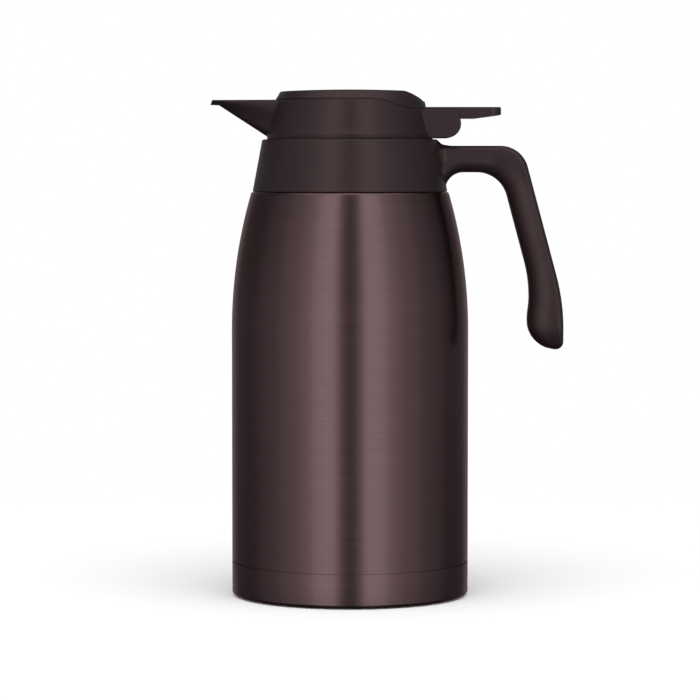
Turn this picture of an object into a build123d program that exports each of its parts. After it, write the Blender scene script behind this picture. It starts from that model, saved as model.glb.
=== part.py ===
from build123d import *
import os
from math import atan, cos, pi, radians, sin, sqrt, tan

# Thermal carafe with flip lid. Millimetres, +Z up, standing plane at Z = 0, origin on the
# body's axis. The spout points along -X and the handle along +X; Y is the hinge direction.

# ---------------------------------------------------------------- driving dimensions
BODY_R = 67.5             # outer radius of the straight body
STRAIGHT_Z = 151.6        # where the straight wall turns into the shoulder
SHOULDER_H = 78.9         # height of the curved shoulder
SHOULDER_EDGE_R = 1.6     # rounding at the shoulder's rim
SHOULDER_LEDGE = 0.7536618 # width of steel that shows round the collar's foot
SHELL_T = 0.5             # steel sheet
VACUUM_GAP = 5.0          # between outer shell and inner bottle
MOUTH_R = 36.0            # clear radius of the steel mouth
NECK_GAP = 3.4            # vacuum gap in the neck
NECK_H = 16.5             # folded mouth rim above the shoulder
RIM_LEDGE = 2.6           # how far the folded rim stands out from the neck
RIM_DROP = 3.6            # how far the folded rim reaches down
NECK_ROOT_R = 2.0         # fillet between shoulder and neck
BOTTLE_FLOOR_GAP = 3.2    # inner bottle above the getter
BOTTLE_FLOOR_R = 12.0     # its bottom corner
LIP_IN_ROUND = 0.5        # mouth rim, inner edge
LIP_OUT_ROUND = 1.1       # mouth rim, outer edge
LIP_LAP = 1.0             # how far the rim laps down over the neck's end

SEAM_Z = 19.9             # weld seam of the base cup
SEAM_GROOVE = 0.5         # visible groove at the seam
CUP_T = 0.8               # base cup sheet
CUP_FOOT_Z = 0.8          # underside of the cup's rim
CUP_CORNER_R = 1.8        # bottom corner of the cup
CUP_LAP = 7.0             # lap of the cup inside the shell
CUP_STEP = 2.0            # height of the step and of the joggle below the lap
CUP_EDGE_R = 0.8          # folded edges of the recess
CUP_IN_R = 0.4            # the same edges inside
CUP_RIM_W = 11.5          # width of the cup's rim round the recess
RECESS_Z = 5.0            # roof of the recess under the base
COVER_T = 2.0             # moulded base cover
COVER_GAP = 0.3           # cover to recess wall
COVER_BEVEL = 1.0
COVER_EDGE_R = 0.3
POCKET_GAP = (1.0, 0.2)   # room round and under the solder disc
FOOT_INSET = 3.0          # foot ring in from the recess wall
FOOT_W = 6.0              # its width
FOOT_EDGE_R = 0.8
FOIL_T = 0.15             # reflector foil
FOIL_MARGIN = (15.0, 1.6) # foil above the bottle's floor and below the shoulder
GETTER_R = 5.0
GETTER_T = 2.0
GETTER_X = 30.0
SEAL_R = 4.0              # solder disc over the evacuation hole
SEAL_T = 0.8
EVAC_HOLE_R = 1.0

COLLAR_GAP = 0.15         # collar above the steel shoulder
COLLAR_H = 29.65
COLLAR_LEAN = 5.4         # how much wider the collar is at its foot
COLLAR_BAND = 0.6         # upright band at the collar's foot
COLLAR_T = 2.4
COLLAR_FOOT_R = 0.4       # rounding of its foot
COLLAR_EDGE_R = 1.3       # rounding of its top
COLLAR_TOP_W = 2.6        # width of the collar's top round its bore
WEB_GAP = 0.6             # hole in the web round the steel rim
GASKET_T = 2.5
GASKET_GAP = 0.2
WEB_T = 3.5
BORE_WALL = 2.4           # wall between the bore and the cored space behind the cone
CORE_H = 15.85            # height of that space
LOCK_IN_GAP = 0.6         # lock ring, two halves, round the neck
LOCK_OUT_GAP = 1.0        # and in the collar's bore
LOCK_SPLIT = 1.0
WASHER_T = 1.0
WASHER_INSET = (2.8, 1.4) # washer in from the mouth and from the rim's edge

THREAD_LEAD = 12.0
THREAD_STARTS = 3
THREAD_WRAP = 90.0        # degrees covered by each thread
THREAD_RIDGE = 1.8        # axial width of a ridge at its root
THREAD_CREST = 1.1        # axial width at its crest
THREAD_RISE = 2.3         # male threads' lower end above the sleeve's floor, at mid ridge
THREAD_RUN = 0.4          # male crest to female root
FEMALE_H = 1.8
MALE_H = 2.0
SKIRT_T = 2.2             # skirt that carries the male thread
SKIRT_GAP = 0.8           # skirt end to sleeve flange
SLEEVE_T = 3.4            # sleeve that carries the female thread
SLEEVE_RIM_GAP = 1.0      # root of the female thread out from the steel rim
SLEEVE_TOP_GAP = 0.7      # sleeve top below the collar top
SLEEVE_FLANGE_T = 2.0
SLEEVE_ROUND = (0.6, 0.8) # its lower and upper inner edges
ROOT_BITE = 0.4           # how deep a ridge is rooted in its wall
OVER = 1.0                # how far a cut runs past the face it opens

HANDLE_W = 22.0
HANDLE_ROOT_IN = 1.4      # square end of the handle inside the collar's bore
HANDLE_FOOT_GAP = 0.4     # handle root above the collar's foot
HANDLE_KICK = 1.0
HANDLE_DROP = 3.65        # arm's top below the collar's top
HANDLE_H = 117.05
SADDLE_DROP = 0.9         # saddle between collar and arm, below the collar's top
SADDLE_RUN = (2.2, 7.0)
SADDLE_LIFT = 0.75
SADDLE_R = (4.0, 20.0)
SADDLE_SKIM = 0.1         # how far the saddle starts beyond the collar's top
ARM_T = 15.05             # thickness of the level arm
GRIP_T = 15.4             # thickness of the slanted grip
LEAN = 15.0               # degrees off upright
HANDLE_CORNER_OUT = 30.2  # where the arm's top meets the slanted back, out from the body
HANDLE_OUT = 54.0         # back of the lower grip, out from the body
PALM_OUT = 34.5           # room for the fingers at the waist
PALM_WAIST_H = 27.9       # the waist above the handle's end
HEEL_OUT = 33.5           # finger side of the end bulb
HEEL_H = 20.9
BACK_EDGE_R = 3.0
FINGER_EDGE_R = 6.5
SHOULDER_BEND_R = 16.0
FINGER_BEND_R = 17.5
BACK_BEND_R = 120.0
PALM_BEND_R = 77.0
HEEL_RISE = 5.1           # the handle's underside rises this much from the toe to the heel
HEEL_BEND_R = 40.0
HEEL_R = 16.3
TOE_R = 4.4
ROOT_R = 10.2             # curve under the arm at the collar
ROOT_SINK = 1.2           # that curve runs this deep into the collar
FLARE_R = 6.0             # side blend between handle and collar
HANDLE_WALL = 3.0
CHANNEL_IN = 5.5          # where the cored channel starts in the arm, in from the body
STRIP_T = 1.6             # handle cover strip
STRIP_W = 13.0
STRIP_LEDGE = 1.5
STRIP_GAP = 0.15
STRIP_MARGIN = (30.4, 32.65)    # strip above the handle's end and below its top

RING_SINK = 0.3           # foot of the stopper housing below the collar's top
RING_RUN = 0.4            # that foot in the collar's bore
RING_H = 22.7
RING_LEAN = 4.0           # how much the housing narrows above its flared foot
RING_FLARE = (1.15, 5.8)  # width and height of that foot's flare
RING_FOOT_BAND = 2.8
RING_FOOT_W = 3.2         # foot's width round the seat
RING_ROUND = (0.3, 0.5, 4.0, 0.6)   # foot, top of the band, hollow of the flare, rim
RING_T = 2.4
SEAT_OUT = 0.3            # seat of the stopper body, out from the sleeve's thread root
SEAT_H = 4.9
DROP_IN = 33.85           # where the rim starts to fall to the rear, in from its edge
DROP_RUN = 32.0
DROP = 5.5
DROP_SKIM = 0.05          # how far the drop's cutter passes over the level rim
HINGE_OUT = 12.25         # hinge axis behind the housing's rim
HINGE_DROP = 13.6         # and below it
EAR_R = 8.1
EAR_GAP = 0.3             # between each ear and the tab
EAR_T = 5.0
EAR_EDGE_R = 0.6
PIN_R = 1.5
PIN_RUN = 0.05            # running clearance of the pin in the ears
PIN_BITE = 2.9            # how far the pin reaches into each ear
PIN_END_GAP = 0.2
NOTCH_RISE = 5.1          # sill of the rear notch above the hinge axis

SPOUT_DROP = 0.1          # spout's top below the rim
SPOUT_REACH = 37.15       # spout's tip ahead of the rim
SPOUT_LIP_L = 4.9         # length of the flat lip
SPOUT_LIP_H = 3.0         # height of the lip
SPOUT_SLOPE = 0.649       # fall of the spout's keel per mm towards the ring
SPOUT_ROOT_IN = 4.35      # spout's root, in from the rim
SPOUT_ROOT_W = 13.5       # half width at the root
SPOUT_LIP_W = 5.6         # half width at the lip
SPOUT_TIP_W = 4.2
SPOUT_T = 1.8
SPOUT_LIP_T = 1.1
SPOUT_TIP_SLANT = 1.3     # the lip's end leans back by this much
SPOUT_TIP_RISE = 0.2      # the lip's underside rises this much to the tip
SPOUT_KEEL_T = 2.7        # wall under the trough
SPOUT_FLANK = (0.62, 0.66)   # point on the flank, as shares of half width and depth

FLOOR_GAP = 0.2           # edge of the pour well's floor below the seat's shoulder
FLOOR_T = 2.2
FLOOR_FALL = 1.3          # fall of the floor to the throat
THROAT_R = 16.5
THROAT_SEAT_W = 2.5
THROAT_SEAT_DROP = 2.6
THROAT_T = 1.8
PLUG_RUN = 0.8            # plug wall in the steel neck
PLUG_T = 1.8
PLUG_FLANGE_RUN = 0.6     # flange over the stopper gasket, in from the sleeve's flange
PLUG_FLANGE_T = 1.6
PLUG_DEPTH = 21.0         # plug's end below the steel rim
PLUG_CAP_T = 2.0
PLUG_ROUND = (0.5, 1.2)   # edges of the cap at the throat and outside
FLOOR_IN_Z = 1.0          # floor wall where it meets the skirt and the throat
FOAM_GAP = 0.2
FOAM_TOP_GAP = 1.2
SEAL_LIFT = 0.15          # stopper gasket above the steel rim
SEAL_TOP_GAP = 0.4        # its top above the sleeve's floor
SEAL_LIP = (0.6, 1.2, 0.4, 0.8)     # toe, lip height, lip rounding, neck
SEAL_OUT_RUN = 0.4        # its lip in from the washer
SEAL_RUN = 0.05

LID_GAP = 0.3
LID_INSET = 0.1           # lid in from the housing's rim
LID_LEAN = 2.6            # how much the lid narrows to its top edge
LID_EDGE_H = 4.4          # height of that edge above the seam
LID_CROWN_H = 1.0
LID_EDGE_ROUND = 1.6
LID_CROWN_R = 650.0
LID_T = 2.0
LID_IN_R = 0.6
DOME_IN = 19.4            # where the dome starts to fall to the rear, in from the lid's edge
DOME_R = 30.0
DOME_END_IN = 0.45
TAB_L = 31.1              # tab's end behind the hinge axis
TAB_RISE = 1.0            # tab's top above the rear of the seam
TAB_END_T = 4.4
TAB_KNEE_L = 16.0
TAB_KNEE_RISE = 3.0
TAB_HALF = 12.6
TAB_CORNER_R = 6.0
TAB_EDGE_R = (1.0, 0.8)   # upper and lower edge of its end
TAB_KNEE_R = 4.0
TAB_ROOT_RUN = 2.0        # slope between the tab's root and its knuckle
KNUCKLE_R = 6.0
SPRING_BAY = 5.0          # half width of the gap in the knuckle
BASE_X = -3.0             # centre of the lid base plate
BASE_MARGIN = 1.9         # plate to the lid's wall at the front
BASE_T = 1.8
BASE_DROP = 1.6           # plate below the seam
RIB_T = 1.4
LID_PLUG_RUN = 1.3        # lid plug in the throat
LID_PLUG_LEAN = 1.0
LID_PLUG_DEPTH = 3.4      # its end below the throat's seat
LID_PLUG_T = 1.6
LID_PLUG_ROUND = 1.0
LID_SEAL_RISE = 1.2       # top of the lid gasket above the floor
LID_SEAL_GAP = 0.2
LID_SEAL_FLANGE_T = 1.4
LID_SEAL_FLANGE_IN = 1.8  # flange in from the seat's edge
PUCK_GAP = (0.2, 0.9)     # insulation round its side and below the plate

SPRING_RUN = 0.5          # coil round the pin
SPRING_WIRE_R = 0.4
SPRING_PITCH = 0.9
SPRING_TURNS = 8
SPRING_TAB_LEG = 8.0      # leg that bears on the tab
SPRING_FIXED_LEG = 11.0   # leg held in the ring's wall
SLOT_GAP = 0.3

# ---------------------------------------------------------------- worked-out radii
NECK_IN_R = MOUTH_R + SHELL_T + NECK_GAP
NECK_R = NECK_IN_R + SHELL_T
RIM_R = NECK_R + RIM_LEDGE
SLEEVE_IN_R = RIM_R + SLEEVE_RIM_GAP
BORE_R = SLEEVE_IN_R + SLEEVE_T
CORE_R = BORE_R + BORE_WALL
COLLAR_TOP_R = BORE_R + COLLAR_TOP_W
COLLAR_R = COLLAR_TOP_R + COLLAR_LEAN
SHOULDER_R = COLLAR_R + SHOULDER_LEDGE
SHOULDER_ARC_R = (SHOULDER_H ** 2 / (BODY_R - SHOULDER_R) + BODY_R - SHOULDER_R) / 2
ARC_X = BODY_R - SHOULDER_ARC_R
WEB_R = RIM_R + WEB_GAP
LOCK_IN_R = NECK_R + LOCK_IN_GAP
LOCK_OUT_R = BORE_R - LOCK_OUT_GAP
WASHER_IN_R = MOUTH_R + WASHER_INSET[0]
WASHER_OUT_R = RIM_R - WASHER_INSET[1]
SLEEVE_FLANGE_R = WASHER_IN_R
SKIRT_R = SLEEVE_IN_R - THREAD_RUN - MALE_H
PLUG_R = MOUTH_R - PLUG_RUN
PLUG_FLANGE_R = SLEEVE_FLANGE_R - PLUG_FLANGE_RUN
SEAL_OUT_R = WASHER_IN_R - SEAL_OUT_RUN
RECESS_R = BODY_R - CUP_RIM_W
FOOT_R = RECESS_R - FOOT_INSET
SEAT_R = SLEEVE_IN_R + SEAT_OUT
RING_FOOT_R = SEAT_R + RING_FOOT_W
RING_SOLE_R = BORE_R - RING_RUN
RING_CONE_R = RING_FOOT_R - RING_FLARE[0]
RING_TOP_R = RING_CONE_R - RING_LEAN
THROAT_SEAT_R = THROAT_R + THROAT_SEAT_W
LID_R = RING_TOP_R - LID_INSET
LID_TOP_R = LID_R - LID_LEAN
BASE_R = LID_TOP_R - LID_T + BASE_X - BASE_MARGIN
LID_PLUG_TOP_R = THROAT_R - LID_PLUG_RUN
LID_PLUG_END_R = LID_PLUG_TOP_R - LID_PLUG_LEAN
LID_SEAL_FLANGE_R = THROAT_SEAT_R - LID_SEAL_FLANGE_IN
PUCK_R = LID_PLUG_END_R - LID_PLUG_T - PUCK_GAP[0]
SPRING_COIL_R = PIN_R + SPRING_RUN + SPRING_WIRE_R

# ---------------------------------------------------------------- worked-out heights
SHOULDER_Z = STRAIGHT_Z + SHOULDER_H
BOTTLE_FLOOR_Z = RECESS_Z + CUP_T + GETTER_T + BOTTLE_FLOOR_GAP
FOIL_Z = (BOTTLE_FLOOR_Z + FOIL_MARGIN[0], STRAIGHT_Z - FOIL_MARGIN[1])
RIM_Z = SHOULDER_Z + NECK_H
RIM_FOOT_Z = RIM_Z - RIM_DROP
COLLAR_Z = SHOULDER_Z + COLLAR_GAP
COLLAR_TOP_Z = COLLAR_Z + COLLAR_H
CORE_TOP_Z = COLLAR_Z + CORE_H
WEB_Z = SHOULDER_Z + GASKET_T
WEB_TOP_Z = WEB_Z + WEB_T
SLEEVE_FLANGE_Z = RIM_Z + WASHER_T
SLEEVE_FLOOR_Z = SLEEVE_FLANGE_Z + SLEEVE_FLANGE_T
THREAD_Z = SLEEVE_FLOOR_Z + THREAD_RISE
HANDLE_TOP_Z = COLLAR_TOP_Z - HANDLE_DROP
HANDLE_END_Z = HANDLE_TOP_Z - HANDLE_H
ARM_Z = HANDLE_TOP_Z - ARM_T
PALM_WAIST_Z = HANDLE_END_Z + PALM_WAIST_H
HEEL_Z = HANDLE_END_Z + HEEL_H
STRIP_Z = (HANDLE_END_Z + STRIP_MARGIN[0], HANDLE_TOP_Z - STRIP_MARGIN[1])
RING_Z = COLLAR_TOP_Z - RING_SINK
RING_TOP_Z = RING_Z + RING_H
RING_CONE_Z = RING_Z + RING_FLARE[1]
RING_SLOPE = (RING_CONE_R - RING_TOP_R) / (RING_TOP_Z - RING_CONE_Z)
SEAT_TOP_Z = RING_Z + SEAT_H
HINGE_Z = RING_TOP_Z - HINGE_DROP
NOTCH_Z = HINGE_Z + NOTCH_RISE
SPOUT_TOP_Z = RING_TOP_Z - SPOUT_DROP
SPOUT_LIP_Z = SPOUT_TOP_Z - SPOUT_LIP_H
FLOOR_RIM_Z = SEAT_TOP_Z - FLOOR_GAP
FLOOR_Z = FLOOR_RIM_Z - FLOOR_T
FLOOR_MID_Z = FLOOR_RIM_Z - FLOOR_FALL
THROAT_SEAT_Z = FLOOR_MID_Z - THROAT_SEAT_DROP
PLUG_END_Z = RIM_Z - PLUG_DEPTH
LID_SEAM_Z = RING_TOP_Z + LID_GAP
LID_EDGE_Z = LID_SEAM_Z + LID_EDGE_H
LID_TOP_Z = LID_EDGE_Z + LID_CROWN_H
TAB_TOP_Z = LID_SEAM_Z - DROP + TAB_RISE
TAB_KNEE_Z = HINGE_Z + TAB_KNEE_RISE
BASE_Z = LID_SEAM_Z - BASE_DROP
LID_PLUG_Z = THROAT_SEAT_Z - LID_PLUG_DEPTH
LID_SEAL_TOP_Z = FLOOR_MID_Z + LID_SEAL_RISE
PUCK_TOP_Z = BASE_Z - PUCK_GAP[1]

# ---------------------------------------------------------------- worked-out places along X
HANDLE_ROOT_X = BORE_R - HANDLE_ROOT_IN
HANDLE_CORNER_X = BODY_R + HANDLE_CORNER_OUT
HANDLE_REACH = BODY_R + HANDLE_OUT
PALM_X = BODY_R + PALM_OUT
HEEL_X = BODY_R + HEEL_OUT
CHANNEL_X = BODY_R - CHANNEL_IN
DROP_X = RING_TOP_R - DROP_IN
HINGE_X = RING_TOP_R + HINGE_OUT
EAR_IN = TAB_HALF + EAR_GAP
PIN_HALF = EAR_IN + PIN_BITE
SPOUT_TIP_X = -RING_TOP_R - SPOUT_REACH
SPOUT_LIP_X = SPOUT_TIP_X + SPOUT_LIP_L
SPOUT_ROOT_X = SPOUT_ROOT_IN - RING_TOP_R
DOME_X = LID_R - DOME_IN
DOME_END_X = LID_R - DOME_END_IN
TAB_END_X = HINGE_X + TAB_L
TAB_KNEE_X = HINGE_X + TAB_KNEE_L


# ---------------------------------------------------------------- helpers
def turned(*corners):
    """Solid turned about Z from corners given as (radius, height) or (radius, height, rounding)."""
    points = [(c[0], c[1]) for c in corners]
    rounding = [c[2] if len(c) > 2 else 0 for c in corners]
    outline = FilletPolyline(*points, radius=rounding, close=True)
    return revolve(Plane.XZ * make_face(outline), Axis.Z)


def ring(inner_r, outer_r, low, high, x=0.0):
    """Plain ring about an upright axis through (x, 0)."""
    height = high - low
    place = Pos(x, 0, low + height / 2)
    tube = Cylinder(outer_r, height)
    if inner_r > 0:
        tube -= Cylinder(inner_r, height + 1)
    return place * tube


def slab(outline, half_width):
    """Outline drawn in X and Z, made as thick as asked, half on each side of Y = 0."""
    return extrude(Plane.XZ * outline, half_width, both=True)


def save(node, shape):
    solids = shape.solids()
    export_step(Compound(solids) if len(solids) > 1 else solids[0], f"parts/{node}.step")
    print(node, len(solids), round(sum(s.volume for s in solids)))


# ---------------------------------------------------------------- vacuum vessel
def shoulder_radius(height, inset):
    """Radius of the shoulder curve, set in from the outer skin."""
    rise = height - STRAIGHT_Z
    return ARC_X + sqrt((SHOULDER_ARC_R - inset) ** 2 - rise ** 2)


def vessel_core(inset, neck_r, floor_z, top_z, edge_r, root_r, floor_r):
    """Solid inside one skin of the vessel: body, shoulder and neck."""
    wall_r = BODY_R - inset
    crown_z = SHOULDER_Z - inset
    crown_r = shoulder_radius(crown_z, inset)
    mid_z = (STRAIGHT_Z + crown_z) / 2
    outline = Polyline((0, top_z), (0, floor_z), (wall_r, floor_z), (wall_r, STRAIGHT_Z))
    outline += ThreePointArc(
        (wall_r, STRAIGHT_Z), (shoulder_radius(mid_z, inset), mid_z), (crown_r, crown_z)
    )
    outline += Polyline((crown_r, crown_z), (neck_r, crown_z), (neck_r, top_z), (0, top_z))
    face = make_face(outline)
    for radius, corner in ((edge_r, (crown_r, crown_z)), (root_r, (neck_r, crown_z)),
                           (floor_r, (wall_r, floor_z))):
        if radius > 0:
            face = fillet(face.vertices().sort_by_distance((corner[0], corner[1], 0))[0], radius)
    return revolve(Plane.XZ * face, Axis.Z)


def outer_shell():
    low = SEAM_Z + SEAM_GROOVE / 2
    flange_z = RIM_Z - SHELL_T
    skin = vessel_core(0, NECK_R, low, flange_z, SHOULDER_EDGE_R, NECK_ROOT_R, 0)
    hollow = vessel_core(SHELL_T, NECK_IN_R, low, flange_z,
                         SHOULDER_EDGE_R - SHELL_T, NECK_ROOT_R + SHELL_T, 0)
    flange = ring(NECK_IN_R, RIM_R - LIP_OUT_ROUND, flange_z - SHELL_T, flange_z)
    return skin - hollow + flange


def inner_bottle():
    inset = SHELL_T + VACUUM_GAP
    top = RIM_Z - SHELL_T
    edge = SHOULDER_EDGE_R + inset
    skin = vessel_core(inset, MOUTH_R + SHELL_T, BOTTLE_FLOOR_Z, top, edge, NECK_ROOT_R,
                       BOTTLE_FLOOR_R)
    hollow = vessel_core(inset + SHELL_T, MOUTH_R, BOTTLE_FLOOR_Z + SHELL_T, top, edge - SHELL_T,
                         NECK_ROOT_R + SHELL_T, BOTTLE_FLOOR_R - SHELL_T)
    lip = turned((MOUTH_R, RIM_Z, LIP_IN_ROUND), (MOUTH_R, top - LIP_LAP),
                 (MOUTH_R + SHELL_T, top - LIP_LAP), (MOUTH_R + SHELL_T, top),
                 (RIM_R - SHELL_T, top, LIP_OUT_ROUND - SHELL_T), (RIM_R - SHELL_T, RIM_FOOT_Z),
                 (RIM_R, RIM_FOOT_Z), (RIM_R, RIM_Z, LIP_OUT_ROUND))
    return skin - hollow + lip


def base_cup():
    lap_r = BODY_R - SHELL_T
    seam = SEAM_Z - SEAM_GROOVE / 2
    roof = RECESS_Z + CUP_T
    wall_in = BODY_R - CUP_T
    return turned(
        (EVAC_HOLE_R, RECESS_Z), (RECESS_R, RECESS_Z, CUP_EDGE_R),
        (RECESS_R, CUP_FOOT_Z, CUP_EDGE_R), (BODY_R, CUP_FOOT_Z, CUP_CORNER_R), (BODY_R, seam),
        (lap_r, seam), (lap_r, SEAM_Z + CUP_LAP), (lap_r - CUP_T, SEAM_Z + CUP_LAP),
        (lap_r - CUP_T, seam - CUP_STEP), (wall_in, seam - 2 * CUP_STEP),
        (wall_in, CUP_FOOT_Z + CUP_T, CUP_CORNER_R - CUP_T),
        (RECESS_R + CUP_T, CUP_FOOT_Z + CUP_T, CUP_IN_R),
        (RECESS_R + CUP_T, roof, CUP_EDGE_R + CUP_IN_R),
        (EVAC_HOLE_R, roof),
    )


def reflector_foil():
    bottle_r = BODY_R - SHELL_T - VACUUM_GAP
    return ring(bottle_r, bottle_r + FOIL_T, *FOIL_Z)


def getter():
    low = RECESS_Z + CUP_T
    return ring(0, GETTER_R, low, low + GETTER_T, x=GETTER_X)


def evacuation_seal():
    return ring(0, SEAL_R, RECESS_Z - SEAL_T, RECESS_Z)


def base_cover():
    edge_r = RECESS_R - COVER_GAP
    plate = turned((0, RECESS_Z - COVER_T), (edge_r, RECESS_Z - COVER_T, COVER_EDGE_R),
                   (edge_r, RECESS_Z - COVER_BEVEL), (edge_r - COVER_BEVEL, RECESS_Z), (0, RECESS_Z))
    pocket = ring(0, SEAL_R + POCKET_GAP[0], RECESS_Z - SEAL_T - POCKET_GAP[1], RECESS_Z + OVER)
    return plate - pocket


def foot_ring():
    top = RECESS_Z - COVER_T
    inner = FOOT_R - FOOT_W
    return turned((inner, top), (inner, 0, FOOT_EDGE_R), (FOOT_R, 0, FOOT_EDGE_R), (FOOT_R, top))


# ---------------------------------------------------------------- collar and handle
def collar_solid():
    return turned((0, COLLAR_Z), (COLLAR_R, COLLAR_Z, COLLAR_FOOT_R),
                  (COLLAR_R, COLLAR_Z + COLLAR_BAND), (COLLAR_TOP_R, COLLAR_TOP_Z, COLLAR_EDGE_R),
                  (0, COLLAR_TOP_Z))


def collar_hollow():
    """Everything cut out of the collar: bore, web hole and the cored space under the cone."""
    wall = COLLAR_R - COLLAR_T
    slope = (COLLAR_R - COLLAR_TOP_R) / (COLLAR_TOP_Z - COLLAR_Z - COLLAR_BAND)
    core_r = wall - slope * (CORE_TOP_Z - COLLAR_Z - COLLAR_BAND)
    low = COLLAR_Z - OVER
    bore = ring(0, BORE_R, WEB_TOP_Z, COLLAR_TOP_Z + OVER)
    web_hole = ring(0, WEB_R, low, WEB_TOP_Z + OVER)
    under = turned((0, low), (wall, low), (wall, COLLAR_Z + COLLAR_BAND), (core_r, CORE_TOP_Z),
                   (CORE_R, CORE_TOP_Z), (CORE_R, WEB_Z), (0, WEB_Z))
    return bore + web_hole + under


def underside(x):
    """Height of the handle's underside between its heel and its toe, or of that line run on."""
    return HANDLE_END_Z + HEEL_RISE * (HANDLE_REACH - x) / (HANDLE_REACH - HEEL_X)


def finger_corners():
    """Finger side of the handle's side outline, from the heel up to the collar."""
    lean = tan(radians(LEAN))
    finger_x = HANDLE_CORNER_X - GRIP_T / cos(radians(LEAN))
    palm_z = HANDLE_TOP_Z - (PALM_X - finger_x) / lean
    return [
        (HEEL_X, underside(HEEL_X), HEEL_R), (HEEL_X, HEEL_Z, HEEL_BEND_R),
        (PALM_X, PALM_WAIST_Z, HEEL_BEND_R), (PALM_X, palm_z, PALM_BEND_R),
        (finger_x + ARM_T * lean, ARM_Z, FINGER_BEND_R), (COLLAR_R - ROOT_SINK, ARM_Z, ROOT_R),
        (COLLAR_R - ROOT_SINK, COLLAR_Z + HANDLE_FOOT_GAP, 0),
        (HANDLE_ROOT_X, COLLAR_Z + HANDLE_FOOT_GAP, 0),
    ]


def back_corners():
    """Top and back of the handle's side outline, from the collar down to the toe."""
    back_z = HANDLE_TOP_Z - (HANDLE_REACH - HANDLE_CORNER_X) / tan(radians(LEAN))
    crest_z = COLLAR_TOP_Z - SADDLE_DROP
    return [
        (HANDLE_ROOT_X, crest_z, 0), (COLLAR_TOP_R + SADDLE_SKIM, crest_z, 0),
        (COLLAR_TOP_R + SADDLE_RUN[0], HANDLE_TOP_Z + SADDLE_LIFT, SADDLE_R[0]),
        (COLLAR_TOP_R + SADDLE_RUN[1], HANDLE_TOP_Z, SADDLE_R[1]),
        (HANDLE_CORNER_X, HANDLE_TOP_Z, SHOULDER_BEND_R),
        (HANDLE_REACH, back_z, BACK_BEND_R), (HANDLE_REACH, HANDLE_END_Z, TOE_R),
    ]


def rounded_slab(corners, half_width, edge_r):
    """Slab whose long edges are rounded, all but its square end in the collar."""
    outline = FilletPolyline(*[(c[0], c[1]) for c in corners],
                             radius=[c[2] for c in corners], close=True)
    solid = slab(make_face(outline), half_width)
    sides = [e for e in solid.edges() if abs(abs(e.center().Y) - half_width) < 0.01]
    return fillet([e for e in sides if e.center().X > HANDLE_ROOT_X + OVER], edge_r)


def handle_face(inset=0.0):
    """Whole side outline of the handle, or the same set in by a wall."""
    corners = back_corners() + finger_corners()
    face = make_face(FilletPolyline(*[(c[0], c[1]) for c in corners],
                                    radius=[c[2] for c in corners], close=True))
    if not inset:
        return face
    return offset(face, -inset, kind=Kind.INTERSECTION)


def handle_blank():
    """Handle with a small rounding on its back edges and a large one on its finger side."""
    reach = 2 * FINGER_EDGE_R
    beyond_fingers = [
        (HEEL_X - reach, underside(HEEL_X - reach) - HANDLE_KICK, 0), (HEEL_X - reach, STRIP_Z[0], 0),
        (COLLAR_R + reach, ARM_Z - 2 * reach, 0), (HANDLE_ROOT_X, ARM_Z - 2 * reach, 0),
    ]
    beyond_back = [
        (HANDLE_ROOT_X, HANDLE_TOP_Z + reach, 0), (HANDLE_REACH + reach, HANDLE_TOP_Z + reach, 0),
        (HANDLE_REACH + reach, underside(HANDLE_REACH + reach) - HANDLE_KICK, 0),
    ]
    half = HANDLE_W / 2
    crisp = rounded_slab(back_corners() + beyond_fingers, half, BACK_EDGE_R)
    soft = rounded_slab(beyond_back + finger_corners(), half, FINGER_EDGE_R)
    return crisp & soft


def handle_flare():
    """Blend that widens the arm towards the collar; it leans with the collar's cone."""
    half = HANDLE_W / 2
    slope = (COLLAR_R - COLLAR_TOP_R) / (COLLAR_TOP_Z - COLLAR_Z - COLLAR_BAND)
    collar_r = COLLAR_TOP_R + slope * (COLLAR_TOP_Z - HANDLE_TOP_Z)
    centre_y = half + FLARE_R
    centre_x = sqrt((collar_r + FLARE_R) ** 2 - centre_y ** 2)
    share = collar_r / (collar_r + FLARE_R)
    touch = (centre_x * share, centre_y * share)
    mid = (centre_x - FLARE_R * sin(pi / 8), centre_y - FLARE_R * cos(pi / 8))
    inside_x = BORE_R - 2
    sketch = Polyline((centre_x, -half), (centre_x, half))
    sketch += ThreePointArc((centre_x, half), mid, touch)
    sketch += Polyline(touch, (inside_x, touch[1]), (inside_x, -touch[1]), (touch[0], -touch[1]))
    sketch += ThreePointArc((touch[0], -touch[1]), (mid[0], -mid[1]), (centre_x, -half))
    face = make_face(sketch)
    shift = slope * ARM_T
    solid = loft([Pos(0, 0, HANDLE_TOP_Z) * face, Pos(shift, 0, ARM_Z) * face], ruled=True)
    for height, edge_r in ((HANDLE_TOP_Z, BACK_EDGE_R), (ARM_Z, FINGER_EDGE_R)):
        curved = [e for e in solid.edges().filter_by(GeomType.CIRCLE)
                  if abs(e.center().Z - height) < 0.01]
        solid = fillet(curved, edge_r)
    return solid


def cover_strip(half_width, low_inset, high_inset, margin):
    """Strip along the finger side of the grip, between two depths below its surface."""
    window = Rectangle(HANDLE_REACH - CHANNEL_X, STRIP_Z[1] - STRIP_Z[0] - 2 * margin)
    middle = ((HANDLE_REACH + CHANNEL_X) / 2, (STRIP_Z[0] + STRIP_Z[1]) / 2)
    band = (handle_face(low_inset) - handle_face(high_inset)) & (Pos(*middle) * window)
    return slab(band.faces().sort_by(Axis.X)[0], half_width)


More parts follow.
